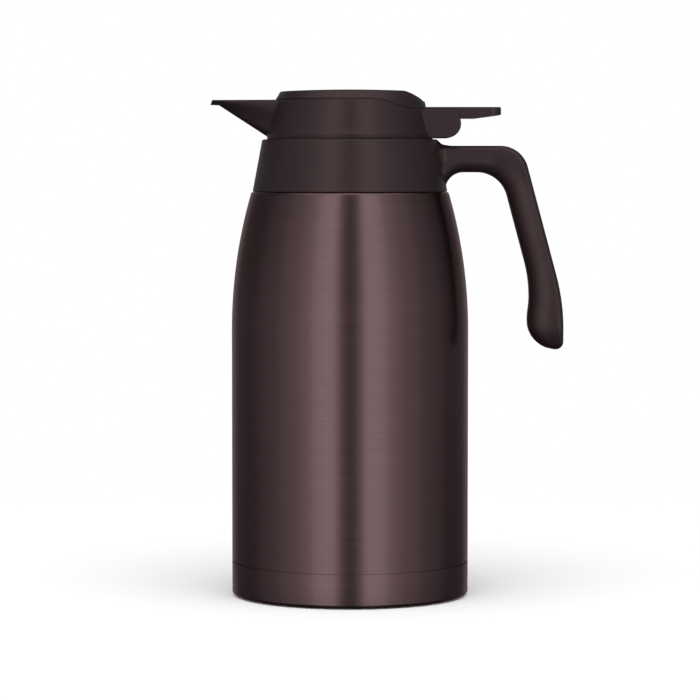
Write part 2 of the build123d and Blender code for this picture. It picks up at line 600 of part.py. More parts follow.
def collar_handle():
    channel = slab(handle_face(HANDLE_WALL), HANDLE_W / 2 - HANDLE_WALL)
    channel -= Pos(CHANNEL_X - BODY_R, 0, SHOULDER_Z) * Box(2 * BODY_R, 2 * BODY_R, 2 * BODY_R)
    slot = cover_strip(STRIP_W / 2, -OVER, STRIP_T, 0)
    window = cover_strip(STRIP_W / 2 - STRIP_LEDGE, STRIP_T - OVER, HANDLE_WALL + OVER, STRIP_LEDGE)
    body = collar_solid() + handle_blank() + handle_flare()
    return body - collar_hollow() - channel - slot - window


def handle_cover():
    return handle_blank() & cover_strip(STRIP_W / 2 - STRIP_GAP, -OVER, STRIP_T, STRIP_GAP)


def neck_gasket():
    return ring(WEB_R + GASKET_GAP, CORE_R - GASKET_GAP, SHOULDER_Z, WEB_Z)


def neck_lock_ring():
    whole = ring(LOCK_IN_R, LOCK_OUT_R, WEB_TOP_Z, RIM_FOOT_Z)
    return whole - Pos(0, 0, WEB_TOP_Z) * Box(2 * BODY_R, LOCK_SPLIT, 2 * NECK_H)


def rim_washer():
    return ring(WASHER_IN_R, WASHER_OUT_R, RIM_Z, RIM_Z + WASHER_T)


# ---------------------------------------------------------------- threads
def thread_ridges(root_r, height, start_z):
    """One set of right-hand ridges; a negative height makes them point inwards."""
    bite = -ROOT_BITE if height > 0 else ROOT_BITE
    rise = THREAD_LEAD * THREAD_WRAP / 360
    path = Helix(THREAD_LEAD, rise, root_r)
    half_root = THREAD_RIDGE / 2
    half_crest = THREAD_CREST / 2
    outline = make_face(Polyline(
        (root_r + bite, -half_root), (root_r + height, -half_crest),
        (root_r + height, half_crest), (root_r + bite, half_root), close=True,
    ))
    ridge = sweep(Plane.XZ * outline, path=path, is_frenet=True)
    turns = [Rot(0, 0, 360 * i / THREAD_STARTS) for i in range(THREAD_STARTS)]
    return [Pos(0, 0, start_z) * turn * ridge for turn in turns]


def mouth_sleeve():
    top = COLLAR_TOP_Z - SLEEVE_TOP_GAP
    foot = RIM_FOOT_Z + THREAD_CREST
    sleeve = turned(
        (SLEEVE_FLANGE_R, SLEEVE_FLANGE_Z), (SLEEVE_FLANGE_R, SLEEVE_FLOOR_Z, SLEEVE_ROUND[0]),
        (SLEEVE_IN_R, SLEEVE_FLOOR_Z), (SLEEVE_IN_R, top, SLEEVE_ROUND[1]), (BORE_R, top),
        (BORE_R, foot), (SLEEVE_IN_R, foot), (SLEEVE_IN_R, SLEEVE_FLANGE_Z),
    )
    pitch = THREAD_LEAD / THREAD_STARTS
    for ridge in thread_ridges(SLEEVE_IN_R, -FEMALE_H, THREAD_Z + pitch / 2):
        sleeve += ridge
    return sleeve


# ---------------------------------------------------------------- stopper
def ring_hollow():
    """Inside of the stopper housing: seat bore below, cone parallel to the outside above."""
    cone_r = RING_CONE_R - RING_T - RING_SLOPE * (SEAT_TOP_Z - RING_CONE_Z)
    top_r = RING_TOP_R - RING_T
    low = RING_Z - OVER
    high = RING_TOP_Z + OVER
    return turned((0, low), (SEAT_R, low), (SEAT_R, SEAT_TOP_Z), (cone_r, SEAT_TOP_Z),
                  (top_r, RING_TOP_Z), (top_r, high), (0, high))


def bend(run, drop):
    """Middle of an arc that starts level and falls by drop over run, from its start."""
    angle = 2 * atan(drop / run)
    radius = run / sin(angle)
    return radius * sin(angle / 2), radius * (1 - cos(angle / 2))


def rear_drop(level):
    """Solid above the ring's rim line: level at the front, falling in an S to the rear."""
    mid_x = DROP_X + DROP_RUN / 2
    end_x = DROP_X + DROP_RUN
    foot = level - DROP
    high = level + 4 * DROP
    over, down = bend(DROP_RUN / 2, DROP / 2)
    outline = Polyline((2 * BODY_R, foot), (2 * BODY_R, high), (-2 * BODY_R, high),
                       (-2 * BODY_R, level), (DROP_X, level))
    outline += ThreePointArc((DROP_X, level), (DROP_X + over, level - down),
                             (mid_x, level - DROP / 2))
    outline += ThreePointArc((mid_x, level - DROP / 2), (end_x - over, foot + down), (end_x, foot))
    outline += Line((end_x, foot), (2 * BODY_R, foot))
    return slab(make_face(outline), BODY_R)


def ear_pair():
    low = HINGE_Z - EAR_R
    high = HINGE_Z + EAR_R
    root_x = RING_TOP_R - EAR_T
    outline = Polyline((HINGE_X, low), (root_x, low), (root_x, high), (HINGE_X, high))
    outline += ThreePointArc((HINGE_X, high), (HINGE_X + EAR_R, HINGE_Z), (HINGE_X, low))
    ear = extrude(Plane.XZ * make_face(outline), EAR_T)
    outer = [e for e in ear.edges() if abs(e.center().Y + EAR_T) < 0.01
             and e.center().X > root_x + OVER]
    ear = fillet(outer, EAR_EDGE_R)
    near = Pos(0, -EAR_IN, 0) * ear
    bore_r = PIN_R + PIN_RUN
    bore = Pos(HINGE_X, 0, HINGE_Z) * Rot(90, 0, 0) * Cylinder(bore_r, 2 * (PIN_HALF + PIN_END_GAP))
    return near + mirror(near, Plane.XZ) - bore


def spout_section(x, half_width, low, lift=0.0):
    """Rounded V section across the spout; lift adds height above its flat top."""
    depth = SPOUT_TOP_Z - low
    flank = (SPOUT_FLANK[0] * half_width, -SPOUT_FLANK[1] * depth)
    keel = Spline((half_width, 0), flank, (0, -depth), tangents=[(-0.1, -1), (-1, 0)])
    keel += mirror(keel, Plane.YZ)
    top = Line((half_width, 0), (-half_width, 0))
    if lift > 0:
        top = Polyline((half_width, 0), (half_width, lift), (-half_width, lift), (-half_width, 0))
    plane = Plane(origin=(x, 0, SPOUT_TOP_Z), x_dir=(0, 1, 0), z_dir=(1, 0, 0))
    return plane * make_face(keel + top)


def keel_z(x):
    """Underside of the spout on its middle line."""
    return SPOUT_LIP_Z - SPOUT_SLOPE * (x - SPOUT_LIP_X)


def lip_end():
    """Space ahead of the lip's end, which leans back."""
    low = SPOUT_LIP_Z - OVER
    high = SPOUT_TOP_Z + OVER
    lean = SPOUT_TIP_SLANT / (SPOUT_TOP_Z - SPOUT_LIP_Z)
    side = Polyline((SPOUT_TIP_X - lean * OVER, low), (SPOUT_TIP_X + SPOUT_TIP_SLANT + lean * OVER, high),
                    (SPOUT_TIP_X - 2 * OVER, high), (SPOUT_TIP_X - 2 * OVER, low), close=True)
    return slab(make_face(side), SPOUT_ROOT_W)


def spout_solid():
    root = spout_section(SPOUT_ROOT_X, SPOUT_ROOT_W, keel_z(SPOUT_ROOT_X))
    lip = spout_section(SPOUT_LIP_X, SPOUT_LIP_W, SPOUT_LIP_Z)
    tip = spout_section(SPOUT_TIP_X, SPOUT_TIP_W, SPOUT_LIP_Z + SPOUT_TIP_RISE)
    beak = loft([root, lip], ruled=True) + loft([lip, tip], ruled=True) - lip_end()
    return beak - Pos(0, 0, RING_Z - BODY_R) * Box(4 * BODY_R, 2 * BODY_R, 2 * BODY_R)


def spout_trough():
    inner_x = SPOUT_ROOT_X + 2 * RING_T
    taper = (SPOUT_ROOT_W - SPOUT_LIP_W) / (SPOUT_ROOT_X - SPOUT_LIP_X)
    inner_w = SPOUT_ROOT_W + taper * 2 * RING_T - SPOUT_T
    lift = 4 * SPOUT_T
    root = spout_section(inner_x, inner_w, keel_z(inner_x) + SPOUT_KEEL_T, lift)
    lip = spout_section(SPOUT_LIP_X, SPOUT_LIP_W - SPOUT_T, SPOUT_LIP_Z + SPOUT_LIP_T, lift)
    tip = spout_section(SPOUT_TIP_X - OVER, SPOUT_TIP_W - SPOUT_LIP_T,
                        SPOUT_LIP_Z + SPOUT_TIP_RISE + SPOUT_LIP_T, lift)
    cut = loft([root, lip], ruled=True) + loft([lip, tip], ruled=True)
    return cut - Pos(0, 0, FLOOR_RIM_Z - BODY_R) * Box(4 * BODY_R, 2 * BODY_R, 2 * BODY_R)


def spring_slot():
    """Blind slot in the ring's wall for the fixed leg of the lid spring."""
    width = 2 * (SPRING_WIRE_R + SLOT_GAP)
    length = SPRING_FIXED_LEG - KNUCKLE_R + SLOT_GAP
    drift = SPRING_FIXED_LEG * SPRING_PITCH / (2 * pi * SPRING_COIL_R)
    return Pos(HINGE_X - KNUCKLE_R - length / 2, -SPRING_PITCH * SPRING_TURNS / 2 - drift,
               HINGE_Z + SPRING_COIL_R) * Box(length, width, width)


def stopper_housing():
    foot, band, flare, rim = RING_ROUND
    outside = turned(
        (0, RING_Z), (RING_SOLE_R, RING_Z, foot), (RING_FOOT_R, RING_Z + RING_FOOT_BAND, band),
        (RING_CONE_R, RING_CONE_Z, flare), (RING_TOP_R, RING_TOP_Z, rim), (0, RING_TOP_Z),
    )
    notch_w = 2 * EAR_IN
    notch = Pos(HINGE_X - BODY_R / 4, 0, NOTCH_Z + BODY_R / 2) * Box(BODY_R / 2, notch_w, BODY_R)
    body = outside + ear_pair() + spout_solid() - ring_hollow() - spout_trough()
    return body - rear_drop(RING_TOP_Z + DROP_SKIM) - notch - spring_slot()


def stopper_body():
    plug_in = PLUG_R - PLUG_T
    skirt_foot = SLEEVE_FLOOR_Z + SKIRT_GAP
    flange_low = SLEEVE_FLOOR_Z + SEAL_TOP_GAP
    flange_top = flange_low + PLUG_FLANGE_T
    tube_r = THROAT_R + THROAT_T
    floor = FLOOR_Z - FLOOR_IN_Z
    throat_floor = THROAT_SEAT_Z - FLOOR_IN_Z
    body = turned(
        (THROAT_R, PLUG_END_Z + PLUG_CAP_T), (THROAT_R, THROAT_SEAT_Z), (THROAT_SEAT_R, FLOOR_MID_Z),
        (SEAT_R, FLOOR_RIM_Z), (SEAT_R, FLOOR_Z), (SKIRT_R, FLOOR_Z), (SKIRT_R, skirt_foot),
        (SKIRT_R - SKIRT_T, skirt_foot), (SKIRT_R - SKIRT_T, floor), (PLUG_R, floor),
        (PLUG_R, flange_top), (PLUG_FLANGE_R, flange_top), (PLUG_FLANGE_R, flange_low),
        (PLUG_R, flange_low), (PLUG_R, PLUG_END_Z + PLUG_CAP_T),
        (plug_in, PLUG_END_Z + PLUG_CAP_T), (plug_in, floor), (tube_r, throat_floor),
        (tube_r, PLUG_END_Z + PLUG_CAP_T),
    )
    for ridge in thread_ridges(SKIRT_R, MALE_H, THREAD_Z):
        body += ridge
    return body


def stopper_bottom():
    top = PLUG_END_Z + PLUG_CAP_T
    return turned((THROAT_R, PLUG_END_Z, PLUG_ROUND[0]), (PLUG_R, PLUG_END_Z, PLUG_ROUND[1]),
                  (PLUG_R, top), (THROAT_R, top))


def stopper_insulation():
    return ring(THROAT_R + THROAT_T + FOAM_GAP, PLUG_R - PLUG_T - FOAM_GAP,
                PLUG_END_Z + PLUG_CAP_T, THROAT_SEAT_Z - FLOOR_IN_Z - FOAM_TOP_GAP)


def stopper_gasket():
    low = RIM_Z + SEAL_LIFT
    high = SLEEVE_FLOOR_Z + SEAL_TOP_GAP
    inner = PLUG_R + SEAL_RUN
    toe, lip_height, lip_round, neck = SEAL_LIP
    return turned((inner, low), (SEAL_OUT_R - toe, low), (SEAL_OUT_R, low + lip_height, lip_round),
                  (SEAL_OUT_R - neck, high), (inner, high))


# ---------------------------------------------------------------- flip lid
def lid_outside():
    """Whole lid form before its rim and rear are trimmed."""
    foot = LID_SEAM_Z - DROP - OVER
    slope_r = LID_R + RING_SLOPE * (LID_SEAM_Z - foot)
    return turned((0, foot), (slope_r, foot), (LID_R, LID_SEAM_Z),
                  (LID_TOP_R, LID_EDGE_Z, LID_EDGE_ROUND),
                  (LID_TOP_R / 2, LID_TOP_Z, LID_CROWN_R), (0, LID_TOP_Z))


def lid_inside():
    foot = LID_SEAM_Z - DROP - 2 * OVER
    slope_r = LID_R - LID_T + RING_SLOPE * (LID_SEAM_Z - foot)
    top = LID_TOP_Z - LID_T
    return turned((0, foot), (slope_r, foot), (LID_R - LID_T, LID_SEAM_Z),
                  (LID_TOP_R - LID_T, LID_EDGE_Z - LID_T, LID_IN_R), (LID_TOP_R / 2, top), (0, top))


def dome_cut(inset=0.0):
    """Solid above the dome line: level over the lid, then rounded down to the rear."""
    radius = DOME_R - inset
    level = LID_TOP_Z - inset
    centre_z = LID_TOP_Z - DOME_R
    end_x = DOME_END_X
    end_z = centre_z + sqrt(radius ** 2 - (end_x - DOME_X) ** 2)
    half = (end_x - DOME_X) / 2
    mid = (DOME_X + half, centre_z + sqrt(radius ** 2 - half ** 2))
    high = LID_TOP_Z + DOME_R
    outline = Polyline((2 * BODY_R, high), (-2 * BODY_R, high), (-2 * BODY_R, level), (DOME_X, level))
    outline += ThreePointArc((DOME_X, level), mid, (end_x, end_z))
    outline += Polyline((end_x, end_z), (2 * BODY_R, end_z), (2 * BODY_R, high))
    return slab(make_face(outline), BODY_R)


def thumb_tab():
    """Tab behind the lid, thinning towards its rounded end."""
    root_x = LID_TOP_R - LID_T
    low = NOTCH_Z + LID_GAP
    end_low = TAB_TOP_Z - TAB_END_T
    side = FilletPolyline(
        (root_x, TAB_TOP_Z), (TAB_END_X, TAB_TOP_Z), (TAB_END_X, end_low), (TAB_KNEE_X, TAB_KNEE_Z),
        (HINGE_X - KNUCKLE_R, TAB_KNEE_Z), (HINGE_X - KNUCKLE_R - TAB_ROOT_RUN, low),
        (root_x, low), radius=[0, *TAB_EDGE_R, TAB_KNEE_R, 0, 0, 0], close=True)
    profile = slab(make_face(side), TAB_HALF)
    plan = FilletPolyline(
        (root_x, -TAB_HALF), (TAB_END_X, -TAB_HALF), (TAB_END_X, TAB_HALF), (root_x, TAB_HALF),
        radius=[0, TAB_CORNER_R, TAB_CORNER_R, 0], close=True)
    return profile & (Pos(0, 0, RING_Z) * extrude(make_face(plan), BODY_R))


def knuckle():
    axis = Pos(HINGE_X, 0, HINGE_Z)
    barrel = axis * Rot(90, 0, 0) * Cylinder(KNUCKLE_R, 2 * TAB_HALF)
    web_h = TAB_KNEE_Z + ROOT_BITE - HINGE_Z
    web = Pos(HINGE_X, 0, HINGE_Z + web_h / 2) * Box(2 * KNUCKLE_R, 2 * TAB_HALF, web_h)
    bay = axis * Box(3 * KNUCKLE_R, 2 * SPRING_BAY, 2 * (TAB_KNEE_Z - HINGE_Z))
    bay += Pos(0, 0, -KNUCKLE_R) * bay
    bore = axis * Rot(90, 0, 0) * Cylinder(PIN_R, 3 * TAB_HALF)
    return barrel + web - bay - bore


def lid_rib():
    """Ring under the lid that holds the base plate."""
    return ring(BASE_R, BASE_R + RIB_T, BASE_Z, LID_TOP_Z - LID_T / 2, x=BASE_X)


def lid_cover():
    trim = rear_drop(LID_SEAM_Z)
    hull = (lid_outside() - dome_cut()) & trim
    hollow = lid_inside() - dome_cut(LID_T)
    shell = hull - hollow + (lid_rib() & (lid_outside() - dome_cut(LID_T / 2)))
    rear = Pos(LID_TOP_R - LID_T + BODY_R / 2, 0, LID_SEAM_Z) * Box(BODY_R, 2 * TAB_HALF, BODY_R)
    root = (lid_outside() - dome_cut()) & rear
    return shell + root + thumb_tab() + knuckle()


def lid_plug_r(height):
    """Outer radius of the lid's hollow plug."""
    slope = (LID_PLUG_TOP_R - LID_PLUG_END_R) / (BASE_Z - LID_PLUG_Z)
    return LID_PLUG_END_R + slope * (height - LID_PLUG_Z)


def lid_base():
    low = LID_PLUG_Z
    top = BASE_Z + BASE_T
    flange = LID_SEAL_TOP_Z
    flange_top = flange + LID_SEAL_FLANGE_T
    plate = ring(0, BASE_R, BASE_Z, top, x=BASE_X)
    plug = turned((0, low), (LID_PLUG_END_R, low, LID_PLUG_ROUND), (lid_plug_r(flange), flange),
                  (LID_SEAL_FLANGE_R, flange), (LID_SEAL_FLANGE_R, flange_top),
                  (lid_plug_r(flange_top), flange_top), (LID_PLUG_TOP_R, BASE_Z), (0, BASE_Z))
    inner_end = LID_PLUG_END_R - LID_PLUG_T
    inner_top = LID_PLUG_TOP_R - LID_PLUG_T
    cavity = turned((0, low + LID_PLUG_T), (inner_end, low + LID_PLUG_T),
                    (inner_top, top + OVER), (0, top + OVER))
    return plate + plug - cavity


def lid_insulation():
    return ring(0, PUCK_R, LID_PLUG_Z + LID_PLUG_T, PUCK_TOP_Z)


def lid_gasket():
    seat = (THROAT_SEAT_R - THROAT_R, FLOOR_MID_Z - THROAT_SEAT_Z)
    length = sqrt(seat[0] ** 2 + seat[1] ** 2)
    back = (-seat[1] / length * LID_SEAL_GAP, seat[0] / length * LID_SEAL_GAP)
    lip = (THROAT_SEAT_R + back[0], FLOOR_MID_Z + back[1])
    toe = (THROAT_R + back[0], THROAT_SEAT_Z + back[1])
    return turned((lid_plug_r(toe[1]), toe[1]), toe, lip, (lip[0], LID_SEAL_TOP_Z),
                  (lid_plug_r(LID_SEAL_TOP_Z), LID_SEAL_TOP_Z))


def hinge_pin():
    return Pos(HINGE_X, 0, HINGE_Z) * Rot(90, 0, 0) * Cylinder(PIN_R, 2 * PIN_HALF)


def lid_spring():
    """Torsion spring on the pin: coil, one leg under the tab, one in the housing's slot."""
    height = SPRING_PITCH * SPRING_TURNS
    path = Helix(SPRING_PITCH, height, SPRING_COIL_R)
    start = Plane(origin=path @ 0, z_dir=path % 0)
    end = Plane(origin=path @ 1, z_dir=path % 1)
    coil = sweep(start * Circle(SPRING_WIRE_R), path=path, is_frenet=True)
    coil += extrude(start * Circle(SPRING_WIRE_R), -SPRING_FIXED_LEG)
    coil += extrude(end * Circle(SPRING_WIRE_R), SPRING_TAB_LEG)
    seat = Plane(origin=(HINGE_X, -height / 2, HINGE_Z), x_dir=(0, 0, 1), z_dir=(0, 1, 0))
    return seat * coil


if __name__ == "__main__":
    os.makedirs("parts", exist_ok=True)
    save("outer_shell", outer_shell())
    save("base_cup", base_cup())
    save("inner_bottle", inner_bottle())
    save("reflector_foil", reflector_foil())
    save("getter", getter())
    save("evacuation_seal", evacuation_seal())
    save("base_cover", base_cover())
    save("foot_ring", foot_ring())
    save("collar_handle", collar_handle())
    save("handle_cover", handle_cover())
    save("neck_gasket", neck_gasket())
    save("neck_lock_ring", neck_lock_ring())
    save("rim_washer", rim_washer())
    save("mouth_sleeve", mouth_sleeve())
    save("stopper_housing", stopper_housing())
    save("stopper_body", stopper_body())
    save("stopper_bottom", stopper_bottom())
    save("stopper_insulation", stopper_insulation())
    save("stopper_gasket", stopper_gasket())
    save("lid_cover", lid_cover())
    save("lid_base", lid_base())
    save("lid_insulation", lid_insulation())
    save("lid_gasket", lid_gasket())
    save("hinge_pin", hinge_pin())
    save("lid_spring", lid_spring())
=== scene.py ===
"""Thermal carafe with a flip lid: the pieces that show, their finishes, the light and the camera.

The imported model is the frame. Turned steel pieces are lathed here from the same sizes, the lid
spring is wound by Geometry Nodes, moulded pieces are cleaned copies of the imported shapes, and
every other node keeps its own mesh and gets a finish. Lengths are in metres.
"""

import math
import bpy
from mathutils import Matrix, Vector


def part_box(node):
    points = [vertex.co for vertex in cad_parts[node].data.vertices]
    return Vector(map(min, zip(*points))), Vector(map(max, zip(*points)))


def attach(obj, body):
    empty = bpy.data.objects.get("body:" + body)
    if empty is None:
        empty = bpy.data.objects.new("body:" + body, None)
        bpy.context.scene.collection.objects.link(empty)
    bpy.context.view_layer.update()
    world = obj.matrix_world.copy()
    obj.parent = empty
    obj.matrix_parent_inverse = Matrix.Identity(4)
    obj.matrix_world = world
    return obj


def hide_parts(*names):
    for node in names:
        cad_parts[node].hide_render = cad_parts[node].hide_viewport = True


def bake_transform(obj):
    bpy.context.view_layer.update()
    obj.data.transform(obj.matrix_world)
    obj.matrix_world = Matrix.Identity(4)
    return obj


bl_info = {
    "name": "Thermal carafe with flip lid",
    "version": (1, 0, 0),
    "blender": (4, 5, 0),
    "location": "View3D > Sidebar > Carafe",
    "description": "Builds the steel body, moulded handle, pouring stopper and flip lid with their finishes",
    "category": "Object",
}

from collections import namedtuple

import bmesh
import bpy
from bpy.props import FloatProperty, FloatVectorProperty, IntProperty, PointerProperty, StringProperty
from mathutils import Euler, Vector, kdtree

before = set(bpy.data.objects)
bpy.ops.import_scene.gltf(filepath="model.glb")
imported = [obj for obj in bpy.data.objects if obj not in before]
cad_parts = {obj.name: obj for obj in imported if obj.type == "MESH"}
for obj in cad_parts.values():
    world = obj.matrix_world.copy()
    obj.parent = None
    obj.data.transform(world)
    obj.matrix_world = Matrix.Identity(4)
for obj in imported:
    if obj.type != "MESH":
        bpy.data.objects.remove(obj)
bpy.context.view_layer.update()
MM = 0.001


# -------- colours and nodes
def linear(hex_colour, alpha=1.0):
    """An sRGB hex colour as linear red, green, blue and alpha."""
    parts = [int(hex_colour[i:i + 2], 16) / 255 for i in (1, 3, 5)]
    return tuple(c / 12.92 if c <= 0.04045 else ((c + 0.055) / 1.055) ** 2.4 for c in parts) + (alpha,)


def add_node(tree, kind, settings=None, values=None, links=None):
    """Adds one node; settings are its properties, values its inputs' constants, links its inputs' sources."""
    node = tree.nodes.new(kind)
    for name, value in (settings or {}).items():
        setattr(node, name, value)
    for name, value in (values or {}).items():
        node.inputs[name].default_value = value
    for name, socket in (links or {}).items():
        tree.links.new(socket, node.inputs[name])
    return node


def new_material(name):
    """An empty node material, its tree, and the Object coordinates that every pattern starts from."""
    material = bpy.data.materials.new(name)
    material.use_nodes = True
    tree = material.node_tree
    tree.nodes.clear()
    return material, tree, add_node(tree, "ShaderNodeTexCoord").outputs["Object"]


# What follows a pattern over a surface: its relief, its colour and its roughness. Colour and
# roughness run from the first value to the second while the pattern runs from low to high.
Relief = namedtuple("Relief", "pattern strength depth")
Shades = namedtuple("Shades", "pattern first second low high", defaults=(0.0, 1.0))
Gloss = namedtuple("Gloss", "pattern first second low high", defaults=(0.0, 1.0))


def surface(material, constants, relief, shades=None, gloss=None):
    """Ends a material in its shader, from its constants and from what follows a pattern."""
    tree = material.node_tree
    bump = add_node(tree, "ShaderNodeBump", values={"Strength": relief.strength, "Distance": relief.depth},
                    links={"Height": relief.pattern})
    links = {"Normal": bump.outputs["Normal"]}
    if shades:
        tint = add_node(tree, "ShaderNodeValToRGB", links={"Fac": shades.pattern})
        start, end = tint.color_ramp.elements
        start.position, end.position = shades.low, shades.high
        start.color, end.color = linear(shades.first), linear(shades.second)
        links["Base Color"] = tint.outputs["Color"]
    if gloss:
        rough = add_node(tree, "ShaderNodeMapRange", links={"Value": gloss.pattern},
                         values={"From Min": gloss.low, "From Max": gloss.high,
                                 "To Min": gloss.first, "To Max": gloss.second})
        links["Roughness"] = rough.outputs["Result"]
    shader = add_node(tree, "ShaderNodeBsdfPrincipled", values=constants, links=links)
    add_node(tree, "ShaderNodeOutputMaterial", links={"Surface": shader.outputs[0]})
    return material


# -------- finishes
def tinted_brushed_steel():
    """Stainless steel sheet, polished with a belt round its axis, then lacquered in clear brown.

    The belt leaves fine level scratches, so a lamp shows as an upright band with soft, slightly
    ragged edges. The lacquer colours all that the metal reflects."""
    steel = bpy.context.scene.carafe_steel
    material, tree, place = new_material("lacquered_brushed_stainless_steel")
    # Real scratches are 0.02 to 0.05 mm apart; drawn about 0.8 mm apart, so that they show.
    run, lines = 1.0 / steel.scratch_length, 1.0 / steel.scratch_spacing
    stretch = add_node(tree, "ShaderNodeMapping", values={"Scale": (run, run, lines)},
                       links={"Vector": place})
    scratch = add_node(tree, "ShaderNodeTexNoise", values={"Scale": 1.0, "Detail": 4.0, "Roughness": 0.62},
                       links={"Vector": stretch.outputs[0]}).outputs["Fac"]
    # The belt's passes leave fainter bands, 2.5 times as long as a scratch and about 8 times as high.
    along, up, faint = 0.4, 0.12, 0.25
    wide = add_node(tree, "ShaderNodeMapping", values={"Scale": (run * along, run * along, lines * up)},
                    links={"Vector": place})
    drift = add_node(tree, "ShaderNodeTexNoise", values={"Scale": 1.0, "Detail": 2.0},
                     links={"Vector": wide.outputs[0]})
    both = add_node(tree, "ShaderNodeMath", {"operation": "MULTIPLY_ADD"}, {1: faint},
                    {0: drift.outputs["Fac"], 2: scratch}).outputs[0]
    return surface(material, {"Metallic": 1.0, "Specular Tint": linear(steel.grazing_tint)},
                   Relief(scratch, strength=0.05, depth=0.02 * MM),
                   Shades(both, steel.shade_low, steel.shade_high, low=0.35, high=0.9),
                   Gloss(both, 0.18, 0.22, low=0.35, high=0.9))


def bare_steel(name, light, dark, roughness, spacing):
    """Uncoated stainless steel: neutral grey, with the faint level marks of spinning or drawing."""
    material, tree, place = new_material(name)
    run = 1.0 / (40.0 * MM)   # a mark fades out over about 40 mm
    stretch = add_node(tree, "ShaderNodeMapping", values={"Scale": (run, run, 1.0 / spacing)},
                       links={"Vector": place})
    marks = add_node(tree, "ShaderNodeTexNoise", values={"Scale": 1.0, "Detail": 3.0},
                     links={"Vector": stretch.outputs[0]}).outputs["Fac"]
    return surface(material, {"Metallic": 1.0}, Relief(marks, strength=0.08, depth=0.03 * MM),
                   Shades(marks, dark, light, low=0.3, high=0.7), Gloss(marks, roughness, roughness + 0.12))


def moulded_plastic(name, light, dark, roughness, grain, depth):
    """Injection-moulded polypropylene; the mould's spark-eroded texture leaves a fine matte grain."""
    material, tree, place = new_material(name)
    fine = add_node(tree, "ShaderNodeTexNoise", links={"Vector": place},
                    values={"Scale": 1.0 / grain, "Detail": 3.0, "Roughness": 0.6}).outputs["Fac"]
    # Flow of the melt leaves broad, barely visible changes of shade, some 25 mm across.
    cloud = add_node(tree, "ShaderNodeTexNoise", values={"Scale": 1.0 / (25.0 * MM), "Detail": 1.0},
                     links={"Vector": place})
    faint = 0.5
    both = add_node(tree, "ShaderNodeMath", {"operation": "MULTIPLY_ADD"}, {1: faint},
                    {0: cloud.outputs["Fac"], 2: fine}).outputs[0]
    return surface(material, {"IOR": 1.49, "Specular IOR Level": 0.75, "Specular Tint": linear("#FFD8DC")},
                   Relief(fine, strength=0.35, depth=depth), Shades(both, dark, light, low=0.5),
                   Gloss(fine, roughness - 0.05, roughness + 0.07, low=0.3, high=0.7))


def milky_silicone():
    """Moulded silicone rubber: milky and slightly see-through, so light spreads a little inside it."""
    material, tree, place = new_material("milky_silicone_rubber")
    clouds = 3.85 * MM
    cloud = add_node(tree, "ShaderNodeTexNoise", values={"Scale": 1.0 / clouds, "Detail": 2.0},
                     links={"Vector": place}).outputs["Fac"]
    return surface(material, {"Roughness": 0.42, "IOR": 1.41, "Subsurface Weight": 0.25,
                              "Subsurface Radius": (1.0, 0.9, 0.8), "Subsurface Scale": 1.0 * MM},
                   Relief(cloud, strength=0.1, depth=0.04 * MM), Shades(cloud, "#C9CAC6", "#E3E3DF"))


def foot_rubber():
    """Moulded black elastomer: dull, with a slightly chalky bloom."""
    material, tree, place = new_material("moulded_black_rubber")
    speck = 1.11 * MM   # real bloom is finer; its specks are drawn so that they show
    bloom = add_node(tree, "ShaderNodeTexNoise", values={"Scale": 1.0 / speck, "Detail": 4.0},
                     links={"Vector": place}).outputs["Fac"]
    return surface(material, {"Roughness": 0.78, "IOR": 1.52},
                   Relief(bloom, strength=0.3, depth=0.06 * MM), Shades(bloom, "#161414", "#2A2626"))


def cell_foam():
    """Closed-cell polyethylene foam: dull and pale, with small cells in its skin."""
    material, tree, place = new_material("closed_cell_foam")
    cell = 0.8 * MM
    cells = add_node(tree, "ShaderNodeTexVoronoi", values={"Scale": 1.0 / cell},
                     links={"Vector": place}).outputs["Distance"]
    return surface(material, {"Roughness": 0.9}, Relief(cells, strength=0.5, depth=0.2 * MM),
                   Shades(cells, "#F1EFEA", "#CFCCC4"))


def soft_foil():
    """Rolled aluminium foil, wrapped by hand, so it is bright and slightly crumpled."""
    material, tree, place = new_material("aluminium_foil")
    crumples = 11.1 * MM
    crumple = add_node(tree, "ShaderNodeTexVoronoi", {"feature": "SMOOTH_F1"}, {"Scale": 1.0 / crumples},
                       {"Vector": place}).outputs["Distance"]
    return surface(material, {"Metallic": 1.0, "Base Color": linear("#E4E5E7")},
                   Relief(crumple, strength=0.4, depth=0.4 * MM), gloss=Gloss(crumple, 0.18, 0.34))


def speckled_metal(name, light, dark, roughness, speck):
    """Pressed getter powder or hardened braze: a dull metal with a grain of its own."""
    material, tree, place = new_material(name)
    grain = add_node(tree, "ShaderNodeTexNoise", values={"Scale": 1.0 / speck, "Detail": 3.0},
                     links={"Vector": place}).outputs["Fac"]
    return surface(material, {"Metallic": 1.0, "Roughness": roughness},
                   Relief(grain, strength=0.4, depth=0.1 * MM), Shades(grain, dark, light))


FINISHES = {}


